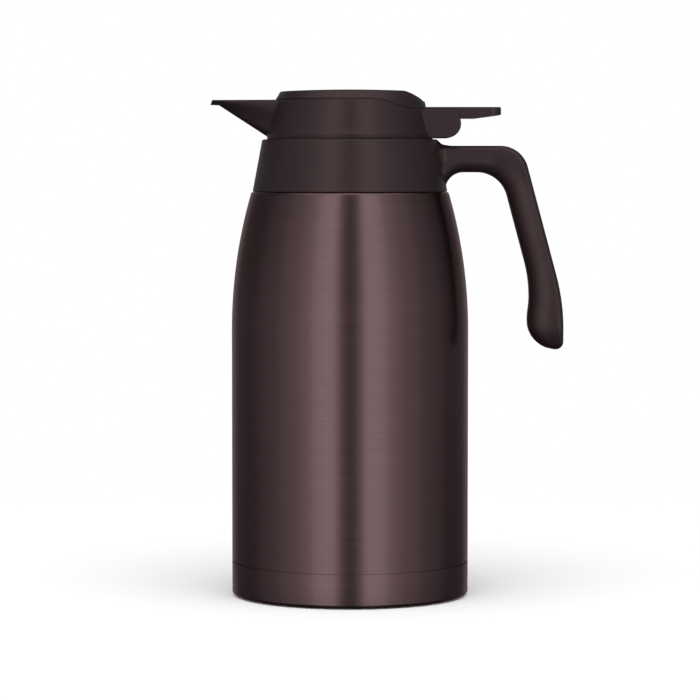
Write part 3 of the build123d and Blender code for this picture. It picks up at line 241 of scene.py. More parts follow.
def finish(name):
    """The finish of that name, made the first time it is asked for."""
    plastic = bpy.context.scene.carafe_plastic
    makers = {
        "brown_steel": tinted_brushed_steel,
        "bare_steel": lambda: bare_steel("spun_stainless_steel", "#D2D0CC", "#BDBAB5", 0.22, 0.9 * MM),
        "wire": lambda: bare_steel("drawn_stainless_wire", "#C9C7C3", "#A9A6A1", 0.26, 0.6 * MM),
        "foil": soft_foil,
        "getter_metal": lambda: speckled_metal("pressed_getter_powder", "#7F7B77", "#4C4946", 0.62, 0.4 * MM),
        "solder": lambda: speckled_metal("hard_braze", "#B9A57E", "#8F7E5E", 0.38, 1.2 * MM),
        # Grain is 0.15 mm in the mould, drawn at 0.5 mm so that it shows.
        "outer_plastic": lambda: moulded_plastic(
            "moulded_brown_polypropylene", plastic.outer_high, plastic.outer_low, plastic.outer_roughness,
            plastic.grain, 0.06 * MM),
        "inner_plastic": lambda: moulded_plastic(
            "smooth_black_polypropylene", plastic.inner_high, plastic.inner_low, 0.33, 1.6 * MM, 0.02 * MM),
        "foot_rubber": foot_rubber,
        "silicone": milky_silicone,
        "foam": cell_foam,
    }
    if name not in FINISHES:
        FINISHES[name] = makers[name]()
    return FINISHES[name]


# -------- outlines and Geometry Nodes
def fillet_points(before, corner, after, radius, steps=5):
    """Points that round a corner of an outline."""
    a = (Vector(before) - Vector(corner)).normalized()
    b = (Vector(after) - Vector(corner)).normalized()
    half = a.angle(b) / 2
    centre = Vector(corner) + (a + b).normalized() * (radius / math.sin(half))
    start = Vector(corner) + a * (radius / math.tan(half)) - centre
    end = Vector(corner) + b * (radius / math.tan(half)) - centre
    turn = math.copysign(math.pi - 2 * half, start.x * end.y - start.y * end.x)
    points = []
    for i in range(steps + 1):
        angle = turn * i / steps
        points.append((centre.x + start.x * math.cos(angle) - start.y * math.sin(angle),
                       centre.y + start.x * math.sin(angle) + start.y * math.cos(angle)))
    return points


def outline(corners):
    """Closed outline from corners given as (radius, height) or (radius, height, rounding)."""
    points = []
    for i, corner in enumerate(corners):
        before, after = corners[i - 1][:2], corners[(i + 1) % len(corners)][:2]
        rounding = corner[2] if len(corner) > 2 else 0
        points += fillet_points(before, corner[:2], after, rounding) if rounding else [tuple(corner[:2])]
    return points


def new_tree(name, inputs, output):
    """An empty Geometry Nodes tree with named inputs and one output, and the sockets of the inputs."""
    tree = bpy.data.node_groups.new(name, "GeometryNodeTree")
    for label, kind in inputs.items():
        tree.interface.new_socket(label, in_out="INPUT", socket_type="NodeSocket" + kind)
    tree.interface.new_socket(output, in_out="OUTPUT", socket_type="NodeSocketGeometry")
    return tree, add_node(tree, "NodeGroupInput").outputs


def end_tree(tree, shape, finish_socket):
    """Ends a Geometry Nodes tree in real geometry that has its finish."""
    real = add_node(tree, "GeometryNodeRealizeInstances", links={"Geometry": shape})
    dressed = add_node(tree, "GeometryNodeSetMaterial",
                       links={"Geometry": real.outputs[0], "Material": finish_socket})
    add_node(tree, "NodeGroupOutput", links={0: dressed.outputs[0]})


def lathe_tree():
    """Geometry Nodes: turns a closed outline, drawn in X and Z, about the Z axis."""
    tree = bpy.data.node_groups.get("turn_outline")
    if tree:
        return tree
    tree, given = new_tree("turn_outline", {"Outline": "Geometry", "Segments": "Int", "Edge angle": "Float",
                                            "Finish": "Material"}, "Turned piece")
    corners = add_node(tree, "GeometryNodeAttributeDomainSize",
                       links={"Geometry": given["Outline"]}).outputs["Point Count"]
    position = add_node(tree, "GeometryNodeInputPosition").outputs[0]
    # A sheet one metre square has a row of points for each corner and a column for each segment;
    # one more of each laps over the first and is merged with it.
    rows = add_node(tree, "ShaderNodeMath", {"operation": "ADD"}, {1: 1.0}, {0: corners})
    columns = add_node(tree, "ShaderNodeMath", {"operation": "ADD"}, {1: 1.0}, {0: given["Segments"]})
    sheet = add_node(tree, "GeometryNodeMeshGrid", values={"Size X": 1.0, "Size Y": 1.0},
                     links={"Vertices X": columns.outputs[0], "Vertices Y": rows.outputs[0]})
    spot = add_node(tree, "ShaderNodeSeparateXYZ", links={0: position})
    turn = add_node(tree, "ShaderNodeMath", {"operation": "MULTIPLY_ADD"}, {1: 2 * math.pi, 2: math.pi},
                    {0: spot.outputs["X"]})
    share = add_node(tree, "ShaderNodeMath", {"operation": "ADD"}, {1: 0.5}, {0: spot.outputs["Y"]})
    # Each row takes its place from the corner of its number, and the last row from the first corner.
    row = add_node(tree, "ShaderNodeMath", {"operation": "MULTIPLY"}, links={0: share.outputs[0], 1: corners})
    whole = add_node(tree, "ShaderNodeMath", {"operation": "ROUND"}, links={0: row.outputs[0]})
    wrapped = add_node(tree, "ShaderNodeMath", {"operation": "MODULO"},
                       links={0: whole.outputs[0], 1: corners})
    corner = add_node(tree, "GeometryNodeSampleIndex", {"data_type": "FLOAT_VECTOR", "domain": "POINT"},
                      links={"Geometry": given["Outline"], "Value": position, "Index": wrapped.outputs[0]})
    placed = add_node(tree, "ShaderNodeVectorRotate", {"rotation_type": "Z_AXIS"},
                      links={"Vector": corner.outputs["Value"], "Angle": turn.outputs[0]})
    formed = add_node(tree, "GeometryNodeSetPosition",
                      links={"Geometry": sheet.outputs["Mesh"], "Position": placed.outputs[0]})
    closed = add_node(tree, "GeometryNodeMergeByDistance", values={"Distance": 0.001 * MM},
                      links={"Geometry": formed.outputs[0]})
    smooth = add_node(tree, "GeometryNodeSetShadeSmooth", {"domain": "FACE"}, {"Shade Smooth": True},
                      {"Geometry": closed.outputs["Geometry"]})
    bend = add_node(tree, "GeometryNodeInputMeshEdgeAngle")
    crease = add_node(tree, "FunctionNodeCompare", {"data_type": "FLOAT", "operation": "GREATER_THAN"},
                      links={"A": bend.outputs["Unsigned Angle"], "B": given["Edge angle"]})
    creased = add_node(tree, "GeometryNodeSetShadeSmooth", {"domain": "EDGE"}, {"Shade Smooth": False},
                       {"Geometry": smooth.outputs[0], "Selection": crease.outputs[0]})
    end_tree(tree, creased.outputs[0], given["Finish"])
    return tree


def spring_tree():
    """Geometry Nodes: winds a torsion spring about the Y axis, with one straight leg at each end."""
    tree, given = new_tree("wind_torsion_spring", {
        "Coil radius": "Float", "Wire radius": "Float", "Pitch": "Float", "Turns": "Float",
        "Fixed leg": "Float", "Tab leg": "Float", "Axis": "Vector", "Finish": "Material"}, "Spring")
    height = add_node(tree, "ShaderNodeMath", {"operation": "MULTIPLY"},
                      links={0: given["Pitch"], 1: given["Turns"]}).outputs[0]
    coil = add_node(tree, "GeometryNodeCurveSpiral", values={"Resolution": 24, "Reverse": False},
                    links={"Rotations": given["Turns"], "Start Radius": given["Coil radius"],
                           "End Radius": given["Coil radius"], "Height": height})
    wires = add_node(tree, "GeometryNodeJoinGeometry")
    tree.links.new(coil.outputs["Curve"], wires.inputs[0])
    # The spiral rises along Z. At each end a leg runs on along the wire's own direction.
    circle = add_node(tree, "ShaderNodeMath", {"operation": "MULTIPLY"}, {1: 2 * math.pi},
                      {0: given["Coil radius"]})
    lean = add_node(tree, "ShaderNodeMath", {"operation": "DIVIDE"},
                    links={0: given["Pitch"], 1: circle.outputs[0]})
    along = add_node(tree, "ShaderNodeCombineXYZ", values={"Y": 1.0}, links={"Z": lean.outputs[0]})
    for name, way, share in (("Fixed leg", -1.0, 0.0), ("Tab leg", 1.0, 1.0)):
        level = add_node(tree, "ShaderNodeMath", {"operation": "MULTIPLY"}, {1: share}, {0: height})
        start = add_node(tree, "ShaderNodeCombineXYZ",
                         links={"X": given["Coil radius"], "Z": level.outputs[0]})
        reach = add_node(tree, "ShaderNodeMath", {"operation": "MULTIPLY"}, {1: way}, {0: given[name]})
        end = add_node(tree, "ShaderNodeVectorMath", {"operation": "MULTIPLY_ADD"},
                       links={0: along.outputs[0], 1: reach.outputs[0], 2: start.outputs[0]})
        leg = add_node(tree, "GeometryNodeCurvePrimitiveLine",
                       links={"Start": start.outputs[0], "End": end.outputs[0]})
        tree.links.new(leg.outputs["Curve"], wires.inputs[0])
    section = add_node(tree, "GeometryNodeCurvePrimitiveCircle", {"mode": "RADIUS"}, {"Resolution": 12},
                       {"Radius": given["Wire radius"]})
    tube = add_node(tree, "GeometryNodeCurveToMesh", values={"Fill Caps": True},
                    links={"Curve": wires.outputs[0], "Profile Curve": section.outputs["Curve"]})
    # The wire's Z is laid along Y, its Y along X and its X along Z, with its middle on the hinge axis.
    spot = add_node(tree, "ShaderNodeSeparateXYZ",
                    links={0: add_node(tree, "GeometryNodeInputPosition").outputs[0]})
    centred = add_node(tree, "ShaderNodeMath", {"operation": "MULTIPLY_ADD"}, {1: -0.5},
                       {0: height, 2: spot.outputs["Z"]})
    laid = add_node(tree, "ShaderNodeCombineXYZ",
                    links={"X": spot.outputs["Y"], "Y": centred.outputs[0], "Z": spot.outputs["X"]})
    placed = add_node(tree, "ShaderNodeVectorMath", {"operation": "ADD"},
                      links={0: laid.outputs[0], 1: given["Axis"]})
    formed = add_node(tree, "GeometryNodeSetPosition",
                      links={"Geometry": tube.outputs[0], "Position": placed.outputs[0]})
    smooth = add_node(tree, "GeometryNodeSetShadeSmooth", {"domain": "FACE"}, {"Shade Smooth": True},
                      {"Geometry": formed.outputs[0]})
    end_tree(tree, smooth.outputs[0], given["Finish"])
    return tree


# -------- building helpers
def link_object(name, data):
    """New object in the scene."""
    obj = bpy.data.objects.new(name, data)
    bpy.context.scene.collection.objects.link(obj)
    return obj


def settle(obj, tree, inputs):
    """Runs a Geometry Nodes tree on an object and keeps the result as its plain mesh, faces outwards."""
    modifier = obj.modifiers.new(tree.name, "NODES")
    modifier.node_group = tree
    sockets = {s.name: s.identifier for s in tree.interface.items_tree if s.in_out == "INPUT"}
    for name, value in inputs.items():
        modifier[sockets[name]] = value
    bpy.context.view_layer.update()
    made = obj.evaluated_get(bpy.context.evaluated_depsgraph_get())
    mesh = bpy.data.meshes.new_from_object(made)
    obj.modifiers.remove(modifier)
    obj.data = mesh
    mesh.name = obj.name
    shape = bmesh.new()
    shape.from_mesh(mesh)
    if shape.calc_volume(signed=True) < 0:
        bmesh.ops.reverse_faces(shape, faces=shape.faces)
        shape.to_mesh(mesh)
    shape.free()
    return obj


def turned(name, corners, finish_name, segments):
    """Piece lathed about the Z axis from a closed outline of (radius, height, rounding) corners."""
    points = outline(corners)
    mesh = bpy.data.meshes.new(name)
    edges = [(i, (i + 1) % len(points)) for i in range(len(points))]
    mesh.from_pydata([(r, 0, z) for r, z in points], edges, [])
    sharp = 0.6   # edges that bend by more than this, in radians, are shaded sharp
    return settle(link_object(name, mesh), lathe_tree(),
                  {"Segments": segments, "Edge angle": sharp, "Finish": finish(finish_name)})


def cleaned_copy(name, node, finish_name, reshape=None):
    """Copy of a moulded piece with its loose triangles joined and its curved faces shaded as one.

    reshape, if given, moves the copy's points before it is shaded."""
    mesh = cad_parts[node].data.copy()
    mesh.name = name
    if "custom_normal" in mesh.attributes:
        mesh.attributes.remove(mesh.attributes["custom_normal"])
    shape = bmesh.new()
    shape.from_mesh(mesh)
    bmesh.ops.remove_doubles(shape, verts=shape.verts, dist=0.002 * MM)
    if reshape:
        reshape(shape)
    sharp = 0.55   # edges that bend by more than this, in radians, are shaded sharp
    for flat in shape.faces:
        flat.smooth = True
    for edge in shape.edges:
        edge.smooth = edge.is_manifold and edge.calc_face_angle(math.pi) < sharp
    shape.to_mesh(mesh)
    shape.free()
    mesh.materials.clear()
    mesh.materials.append(finish(finish_name))
    obj = link_object(name, mesh)
    weigh = obj.modifiers.new("even_shading", "WEIGHTED_NORMAL")
    weigh.mode = "FACE_AREA"
    weigh.weight = 100
    weigh.keep_sharp = True
    return obj


def stand_for(obj, body, slot, *nodes):
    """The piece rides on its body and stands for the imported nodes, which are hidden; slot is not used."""
    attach(obj, body)
    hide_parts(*nodes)


def dress(finish_name, *nodes):
    """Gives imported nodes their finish."""
    for node in nodes:
        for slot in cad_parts[node].material_slots:
            slot.material = finish(finish_name)


# -------- shaping the handle
def cut_faces(shape, faces, axis, place):
    """Cuts these faces where they cross a plane square to one axis."""
    across = Vector((0.0, 0.0, 0.0))
    across[axis] = 1.0
    edges = {e for f in faces for e in f.edges}
    verts = {v for f in faces for v in f.verts}
    bmesh.ops.bisect_plane(shape, geom=[*faces, *edges, *verts], dist=0.001 * MM, plane_co=across * place,
                           plane_no=across)


def cut_sides_and_toe(shape, handle):
    """Cuts the handle's flat sides into squares and its toe into slices, so that they can be crowned."""
    low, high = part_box("collar_handle")
    half, hair = handle.width / 2, 0.01 * MM
    for axis in (0, 2):
        place = low[axis] + handle.facet
        while place < high[axis]:
            sides = [f for f in shape.faces if all(abs(abs(v.co.y) - half) < hair for v in f.verts)]
            cut_faces(shape, sides, axis, place)
            place += handle.facet
    place = low.z + handle.facet / 2
    while place < low.z + handle.toe_depth:
        cut_faces(shape, [f for f in shape.faces if min(v.co.z for v in f.verts) < place], 2, place)
        place += handle.facet / 2
    bmesh.ops.triangulate(shape, faces=shape.faces)


def eased(share):
    """Runs from 0 to 1 with no kink at either end."""
    share = min(1.0, max(0.0, share))
    return share * share * (3.0 - 2.0 * share)


def domed(share):
    """Height of a quarter ellipse at a share of its run."""
    return math.sqrt(1.0 - (1.0 - min(1.0, max(0.0, share))) ** 2)


def finger_side(handle):
    """Points along the handle's underside, from the toe over the heel and palm to the collar."""
    low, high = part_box("collar_handle")
    reach, end = high.x, low.z
    top = end + handle.height
    lean = math.tan(handle.lean)
    heel = reach - handle.heel_depth
    palm = heel + handle.palm_step
    finger = reach - handle.corner_depth - handle.grip_depth / math.cos(handle.lean)
    arm = top - handle.arm_depth
    corners = [(reach - handle.toe_round, end), (heel, end + handle.heel_rise, handle.heel_round),
               (heel, end + handle.heel_height, handle.palm_round),
               (palm, end + handle.waist_height, handle.palm_round),
               (palm, top - (palm - finger) / lean, handle.grip_round),
               (finger + handle.arm_depth * lean, arm, handle.bend_round), (handle.root, arm)]
    points = [corners[0]]
    for before, corner, after in zip(corners, corners[1:], corners[2:]):
        points += fillet_points(before[:2], corner[:2], after[:2], corner[2], steps=12)
    return points + [corners[-1]]


def round_finger_side(shape, handle):
    """Narrows the handle towards the fingers, so that its section is a broad roll instead of a box."""
    points = [Vector(point) for point in finger_side(handle)]
    spots, spacing = [], 0.2 * MM
    for a, b in zip(points, points[1:]):
        count = max(1, int((b - a).length / spacing))
        spots += [a.lerp(b, i / count) for i in range(count)]
    tree = kdtree.KDTree(len(spots) + 1)
    for index, spot in enumerate([*spots, points[-1]]):
        tree.insert((spot.x, 0.0, spot.y), index)
    tree.balance()
    half, small = handle.width / 2, handle.edge_round
    nose, toe = handle.nose_width / 2, handle.toe_width / 2
    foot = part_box("collar_handle")[0].z
    # Half widths at a point: as packed, as rolled towards the fingers, and as rounded off at the toe.
    for vert in shape.verts:
        depth = tree.find((vert.co.x, 0.0, vert.co.z))[2]
        now = half - small + math.sqrt(small ** 2 - max(0.0, small - depth) ** 2)
        rolled = nose + (half - nose) * domed(depth / handle.roll_depth)
        ended = toe + (half - toe) * domed((vert.co.z - foot) / handle.toe_depth)
        share = eased((vert.co.x - handle.roll_start) / handle.roll_run)
        vert.co.y *= 1.0 + (min(rolled, ended) / now - 1.0) * share


# -------- sizes and colours
def size(name, description, default):
    """A length that the user can change."""
    return FloatProperty(name=name, description=description, default=default, unit="LENGTH")


def shade(name, description, default):
    """A colour that the user can change, as sRGB hex."""
    return StringProperty(name=name, description=description, default=default)


class CarafeSteel(bpy.types.PropertyGroup):
    """Sizes and finish of the vacuum vessel."""
    body_radius: size("Body radius", "Outer radius of the straight wall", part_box("outer_shell")[1].x)
    straight_top: size("Straight wall top", "Height where the shoulder curve starts", 151.6 * MM)
    shoulder_top: size("Shoulder top", "Height of the steel shoulder", 230.5 * MM)
    shoulder_arc: size("Shoulder curve", "Radius of the long shoulder curve", 280.0 * MM)
    shoulder_round: size("Shoulder rim", "Rounding of the shoulder's rim", 1.6 * MM)
    sheet: size("Sheet", "Thickness of the steel sheet", 0.5 * MM)
    seam_height: size("Seam", "Height of the base cup's weld seam", 19.9 * MM)
    seam_groove: size("Seam groove", "Width of the groove at the seam", 0.7 * MM)
    neck_radius: size("Neck", "Outer radius of the neck", 40.4 * MM)
    flange_radius: size("Flange", "Radius of the flange at the neck's end", 41.9 * MM)
    segments: IntProperty(name="Segments", description="Facets round the turned pieces", default=224, min=24)
    shade_low: shade("Dark tint", "Lacquered steel in a scratch", "#755E61")
    shade_high: shade("Light tint", "Lacquered steel beside it", "#7F666A")
    grazing_tint: shade("Grazing tint", "Lacquer seen along the surface", "#FFF6F6")
    scratch_spacing: size("Scratch spacing", "Height of one drawn scratch", 0.8 * MM)
    scratch_length: size("Scratch length", "Length of a scratch round the body", 30.0 * MM)


class CarafeHandle(bpy.types.PropertyGroup):
    """Sizes of the handle, for the broad roll on its finger side."""
    height: size("Height", "Top of the arm above the toe", 115.98 * MM)
    width: size("Width", "Width of the handle's back", 22.0 * MM)
    arm_depth: size("Arm", "Thickness of the level arm", 15.05 * MM)
    grip_depth: size("Grip", "Thickness of the slanted grip", 15.4 * MM)
    lean: FloatProperty(name="Lean", description="Slant of the grip", subtype="ANGLE",
                        default=math.radians(15.0))
    corner_depth: size("Corner", "Corner of arm and grip, in from the back", 23.8 * MM)
    heel_depth: size("Heel", "Depth of the bulb at the end", 20.5 * MM)
    heel_height: size("Heel height", "Height of the bulb", 19.83 * MM)
    heel_rise: size("Heel rise", "Rise of the underside from the toe to the bulb", 4.03 * MM)
    heel_round: size("Heel rounding", "Rounding under the bulb", 16.3 * MM)
    toe_round: size("Toe rounding", "Rounding of the lowest corner", 4.4 * MM)
    palm_step: size("Waist", "Waist above the bulb, set back by this", 1.0 * MM)
    waist_height: size("Waist height", "Height of the waist", 26.83 * MM)
    palm_round: size("Waist rounding", "Curve between bulb and waist", 40.0 * MM)
    grip_round: size("Grip curve", "Curve between waist and grip", 77.0 * MM)
    bend_round: size("Bend", "Curve between grip and arm", 17.5 * MM)
    root: size("Root", "Where the arm meets the collar", 50.0 * MM)
    edge_round: size("Edge rounding", "Rounding of the packed finger side", 6.5 * MM)
    nose_width: size("Nose", "Flat left along the fingers", 4.4 * MM)
    toe_width: size("Toe", "Flat left under the toe", 5.0 * MM)
    toe_depth: size("Toe curve", "Height over which the end rounds off, seen from behind", 11.0 * MM)
    roll_depth: size("Roll", "Depth over which the side rolls in", 15.0 * MM)
    roll_start: size("Roll start", "Where the roll starts, out from the axis", 72.0 * MM)
    roll_run: size("Roll run", "Length over which the roll fades in", 20.0 * MM)
    facet: size("Facet", "Size of the squares that the flat sides are cut into", 1.5 * MM)


class CarafePlastic(bpy.types.PropertyGroup):
    """Colours and grain of the moulded pieces."""
    outer_high: shade("Outer light", "Lighter shade of the outer mouldings", "#231B1C")
    outer_low: shade("Outer dark", "Darker shade of the outer mouldings", "#1C1516")
    outer_roughness: FloatProperty(name="Outer roughness", description="Roughness of the outer mouldings",
                                   default=0.33, min=0.05, max=1.0)
    grain: size("Grain", "Size of the mould's grain", 0.5 * MM)
    inner_high: shade("Inner light", "Lighter shade of the inner mouldings", "#232021")
    inner_low: shade("Inner dark", "Darker shade of the inner mouldings", "#1A1718")


class CarafeSpring(bpy.types.PropertyGroup):
    """Sizes of the lid's torsion spring."""
    coil_radius: size("Coil radius", "Middle of the wire to the axis", 2.4 * MM)
    wire_radius: size("Wire radius", "Radius of the wire", 0.4 * MM)
    pitch: size("Pitch", "Step of one turn", 0.9 * MM)
    turns: FloatProperty(name="Turns", description="Number of turns", default=8.0)
    fixed_leg: size("Fixed leg", "Leg held in the housing", 11.0 * MM)
    tab_leg: size("Tab leg", "Leg that bears on the tab", 8.0 * MM)
    axis_place: FloatVectorProperty(name="Axis", description="Middle of the hinge axis", subtype="XYZ",
                                    default=(54.6 * MM, 0.0, 269.1 * MM))


class CarafeStage(bpy.types.PropertyGroup):
    """Camera, floor and light."""
    camera_place: FloatVectorProperty(name="Camera", description="Place of the camera", subtype="XYZ",
                                      default=(0.0, -1.7859, 0.2450))
    camera_pitch: FloatProperty(name="Pitch", description="Downward tilt of the camera", subtype="ANGLE",
                                default=math.radians(3.36))
    lens: FloatProperty(name="Lens", description="Focal length on a 36 mm sensor", unit="CAMERA",
                        default=160.9)
    floor_radius: size("Floor", "Radius of the floor", 4.0)
    ambient: FloatProperty(name="Ambient", description="Light from all round", default=0.30)
    key: FloatProperty(name="Key", description="Light from the front and above", default=2.0)
    overhead: FloatProperty(name="Overhead", description="Light from straight above", default=0.25)
    bounce: FloatProperty(name="Bounce", description="Light off the floor", default=0.42)


# -------- operators
class CARAFE_OT_outer_shell(bpy.types.Operator):
    """Lathe the steel body: straight wall, long shoulder curve, rim, neck and its thin wall"""
    bl_idname = "carafe.outer_shell"
    bl_label = "Steel body"

    def execute(self, context):
        s = context.scene.carafe_steel
        foot = s.seam_height + s.seam_groove / 2
        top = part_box("outer_shell")[1].z
        arc_x = s.body_radius - s.shoulder_arc
        bend = 2.0 * MM   # fillet between shoulder and neck
        steps = 28

        def skin(inset):
            """One side of the sheet, from the seam up to the end of the neck."""
            crown = s.shoulder_top - inset
            points = [(s.body_radius - inset, foot), (s.body_radius - inset, s.straight_top)]
            for i in range(1, steps + 1):
                rise = (crown - s.straight_top) * i / steps
                radius = arc_x + math.sqrt((s.shoulder_arc - inset) ** 2 - rise ** 2)
                points.append((radius, s.straight_top + rise))
            points[-1] = (*points[-1], s.shoulder_round - inset)
            points.append((s.neck_radius - inset, crown, bend + inset))
            return points

        outside = skin(0.0) + [(s.neck_radius, top - s.sheet), (s.flange_radius, top - s.sheet),
                               (s.flange_radius, top)]
        inside = skin(s.sheet) + [(s.neck_radius - s.sheet, top)]
        obj = turned("steel_body", outside + inside[::-1], "brown_steel", s.segments)
        stand_for(obj, "carafe", "brown_steel", "outer_shell")
        return {"FINISHED"}


class CARAFE_OT_base_cup(bpy.types.Operator):
    """Lathe the pressed base cup under the weld seam, with its recess and folded foot"""
    bl_idname = "carafe.base_cup"
    bl_label = "Base cup"

    def execute(self, context):
        s = context.scene.carafe_steel
        sheet = 0.8 * MM
        seam = s.seam_height - s.seam_groove / 2
        lap = s.body_radius - s.sheet - 0.5 * MM   # set back, so that the groove is dark
        lap_top = s.seam_height + 7.0 * MM
        step, step_foot = seam - 2.0 * MM, seam - 4.0 * MM
        recess, roof = 56.0 * MM, 5.0 * MM
        foot = 0.8 * MM
        hole = 1.0 * MM
        obj = turned("base_cup_pressing", [
            (hole, roof), (recess, roof, 0.8 * MM), (recess, foot, 0.8 * MM),
            (s.body_radius, foot, 1.8 * MM), (s.body_radius, seam, 0.1 * MM),
            (lap, seam), (lap, lap_top), (lap - sheet, lap_top), (lap - sheet, step),
            (s.body_radius - sheet, step_foot), (s.body_radius - sheet, foot + sheet, 1.0 * MM),
            (recess + sheet, foot + sheet, 0.4 * MM), (recess + sheet, roof + sheet, 1.2 * MM),
            (hole, roof + sheet),
        ], "brown_steel", s.segments)
        stand_for(obj, "carafe", "brown_steel", "base_cup")
        return {"FINISHED"}


class CARAFE_OT_vessel_inside(bpy.types.Operator):
    """Finish the inner bottle, its foil, the getter and the seal of the evacuation hole"""
    bl_idname = "carafe.vessel_inside"
    bl_label = "Inside of the vessel"

    def execute(self, context):
        dress("bare_steel", "inner_bottle")
        dress("foil", "reflector_foil")
        dress("getter_metal", "getter")
        dress("solder", "evacuation_seal")
        return {"FINISHED"}


class CARAFE_OT_foot(bpy.types.Operator):
    """Finish the moulded base cover and the rubber foot ring"""
    bl_idname = "carafe.foot"
    bl_label = "Base cover and foot ring"

    def execute(self, context):
        dress("outer_plastic", "base_cover")
        dress("foot_rubber", "foot_ring")
        return {"FINISHED"}


class CARAFE_OT_collar_handle(bpy.types.Operator):
    """Build the collar with its handle, and the strip that closes the handle's core"""
    bl_idname = "carafe.collar_handle"
    bl_label = "Collar and handle"

    def execute(self, context):
        sizes = context.scene.carafe_handle

        def reshape_handle(shape):
            cut_sides_and_toe(shape, sizes)
            round_finger_side(shape, sizes)

        handle = cleaned_copy("collar_and_handle", "collar_handle", "outer_plastic", reshape_handle)
        stand_for(handle, "carafe", "outer_plastic", "collar_handle")
        strip = cleaned_copy("handle_strip", "handle_cover", "outer_plastic",
                             lambda shape: round_finger_side(shape, sizes))
        stand_for(strip, "carafe", "outer_plastic", "handle_cover")
        return {"FINISHED"}


class CARAFE_OT_neck_fittings(bpy.types.Operator):
    """Finish the sealing ring, lock ring, washer and threaded sleeve in the collar"""
    bl_idname = "carafe.neck_fittings"
    bl_label = "Neck fittings"

    def execute(self, context):
        dress("foot_rubber", "neck_gasket")
        dress("inner_plastic", "neck_lock_ring", "mouth_sleeve")
        dress("silicone", "rim_washer")
        return {"FINISHED"}


class CARAFE_OT_stopper(bpy.types.Operator):
    """Build the stopper's housing with its spout and hinge ears, and finish the plug below it"""
    bl_idname = "carafe.stopper"
    bl_label = "Pouring stopper"

    def execute(self, context):
        housing = cleaned_copy("stopper_ring_and_spout", "stopper_housing", "outer_plastic")
        stand_for(housing, "stopper", "outer_plastic", "stopper_housing")
        dress("inner_plastic", "stopper_body", "stopper_bottom")
        dress("foam", "stopper_insulation")
        dress("silicone", "stopper_gasket")
        return {"FINISHED"}


class CARAFE_OT_flip_lid(bpy.types.Operator):
    """Build the flip lid with its thumb tab, and finish the plate, plug, seal and pin under it"""
    bl_idname = "carafe.flip_lid"
    bl_label = "Flip lid"

    def execute(self, context):
        lid = cleaned_copy("flip_lid", "lid_cover", "outer_plastic")
        stand_for(lid, "lid", "outer_plastic", "lid_cover")
        dress("inner_plastic", "lid_base")
        dress("foam", "lid_insulation")
        dress("silicone", "lid_gasket")
        dress("bare_steel", "hinge_pin")
        return {"FINISHED"}


class CARAFE_OT_lid_spring(bpy.types.Operator):
    """Wind the torsion spring on the hinge pin, with its two legs"""
    bl_idname = "carafe.lid_spring"
    bl_label = "Lid spring"

    def execute(self, context):
        s = context.scene.carafe_spring
        obj = link_object("torsion_spring", bpy.data.meshes.new("torsion_spring"))
        settle(obj, spring_tree(), {
            "Coil radius": s.coil_radius, "Wire radius": s.wire_radius, "Pitch": s.pitch, "Turns": s.turns,
            "Fixed leg": s.fixed_leg, "Tab leg": s.tab_leg, "Axis": tuple(s.axis_place),
            "Finish": finish("wire")})
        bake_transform(obj)
        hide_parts("lid_spring")
        return {"FINISHED"}


# -------- stage
# Softboxes that polished metal mirrors, as (degrees to both sides of the front, brightness): a bright
# strip on either side of a gap at the camera, fading to a dark room, and a dim warm card behind.
SOFTBOXES = ((3, 0.13), (9, 0.34), (16, 1.04), (31, 0.94), (42, 0.54), (60, 0.36), (85, 0.20), (112, 0.09),
             (140, 0.09), (156, 0.19), (180, 0.24))
CARD_FROM = 130                  # degrees from the front
CARD_WARMTH = (1.0, 0.86, 0.88)  # the rims that mirror the card would look green without it


def mirrored_room(tree, way):
    """What gloss sees: softboxes all round, a card overhead and a dimmer floor."""
    front = add_node(tree, "ShaderNodeMath", {"operation": "MULTIPLY"}, {1: -1.0}, {0: way["Y"]})
    heading = add_node(tree, "ShaderNodeMath", {"operation": "ARCTAN2"},
                       links={0: way["X"], 1: front.outputs[0]})
    share = add_node(tree, "ShaderNodeMath", {"operation": "MULTIPLY_ADD"}, {1: 0.5 / math.pi, 2: 0.5},
                     {0: heading.outputs[0]})
    strips = add_node(tree, "ShaderNodeValToRGB", links={"Fac": share.outputs[0]})
    boxes = [(-degrees, level) for degrees, level in reversed(SOFTBOXES)] + list(SOFTBOXES)
    ramp = strips.color_ramp
    ramp.interpolation = "EASE"
    while len(ramp.elements) < len(boxes):
        ramp.elements.new(0.5)
    for element, (degrees, level) in zip(ramp.elements, boxes):
        element.position = degrees / 360 + 0.5
    for element, (degrees, level) in zip(ramp.elements, boxes):
        tint = CARD_WARMTH if abs(degrees) > CARD_FROM else (1.0, 1.0, 1.0)
        element.color = (*(level * part for part in tint), 1.0)
    below = add_node(tree, "ShaderNodeMapRange", {"interpolation_type": "SMOOTHSTEP"},
                     {"From Min": -0.75, "From Max": -0.12, "To Min": 0.12}, {"Value": way["Z"]})
    dimmed = add_node(tree, "ShaderNodeVectorMath", {"operation": "SCALE"},
                      links={0: strips.outputs["Color"], "Scale": below.outputs["Result"]})
    # A card hangs high in front of the object; over and behind it the room is dark.
    card = add_node(tree, "ShaderNodeMapRange", {"interpolation_type": "SMOOTHSTEP"},
                    {"From Min": -0.3, "From Max": 0.25, "To Min": 0.2, "To Max": 0.85},
                    {"Value": front.outputs[0]})
    high = add_node(tree, "ShaderNodeMapRange", {"interpolation_type": "SMOOTHSTEP"},
                    {"From Min": 0.58, "From Max": 0.82}, {"Value": way["Z"]})
    room = add_node(tree, "ShaderNodeMix", {"data_type": "RGBA"},
                    links={0: high.outputs["Result"], 6: dimmed.outputs[0], 7: card.outputs["Result"]})
    return room.outputs[2]


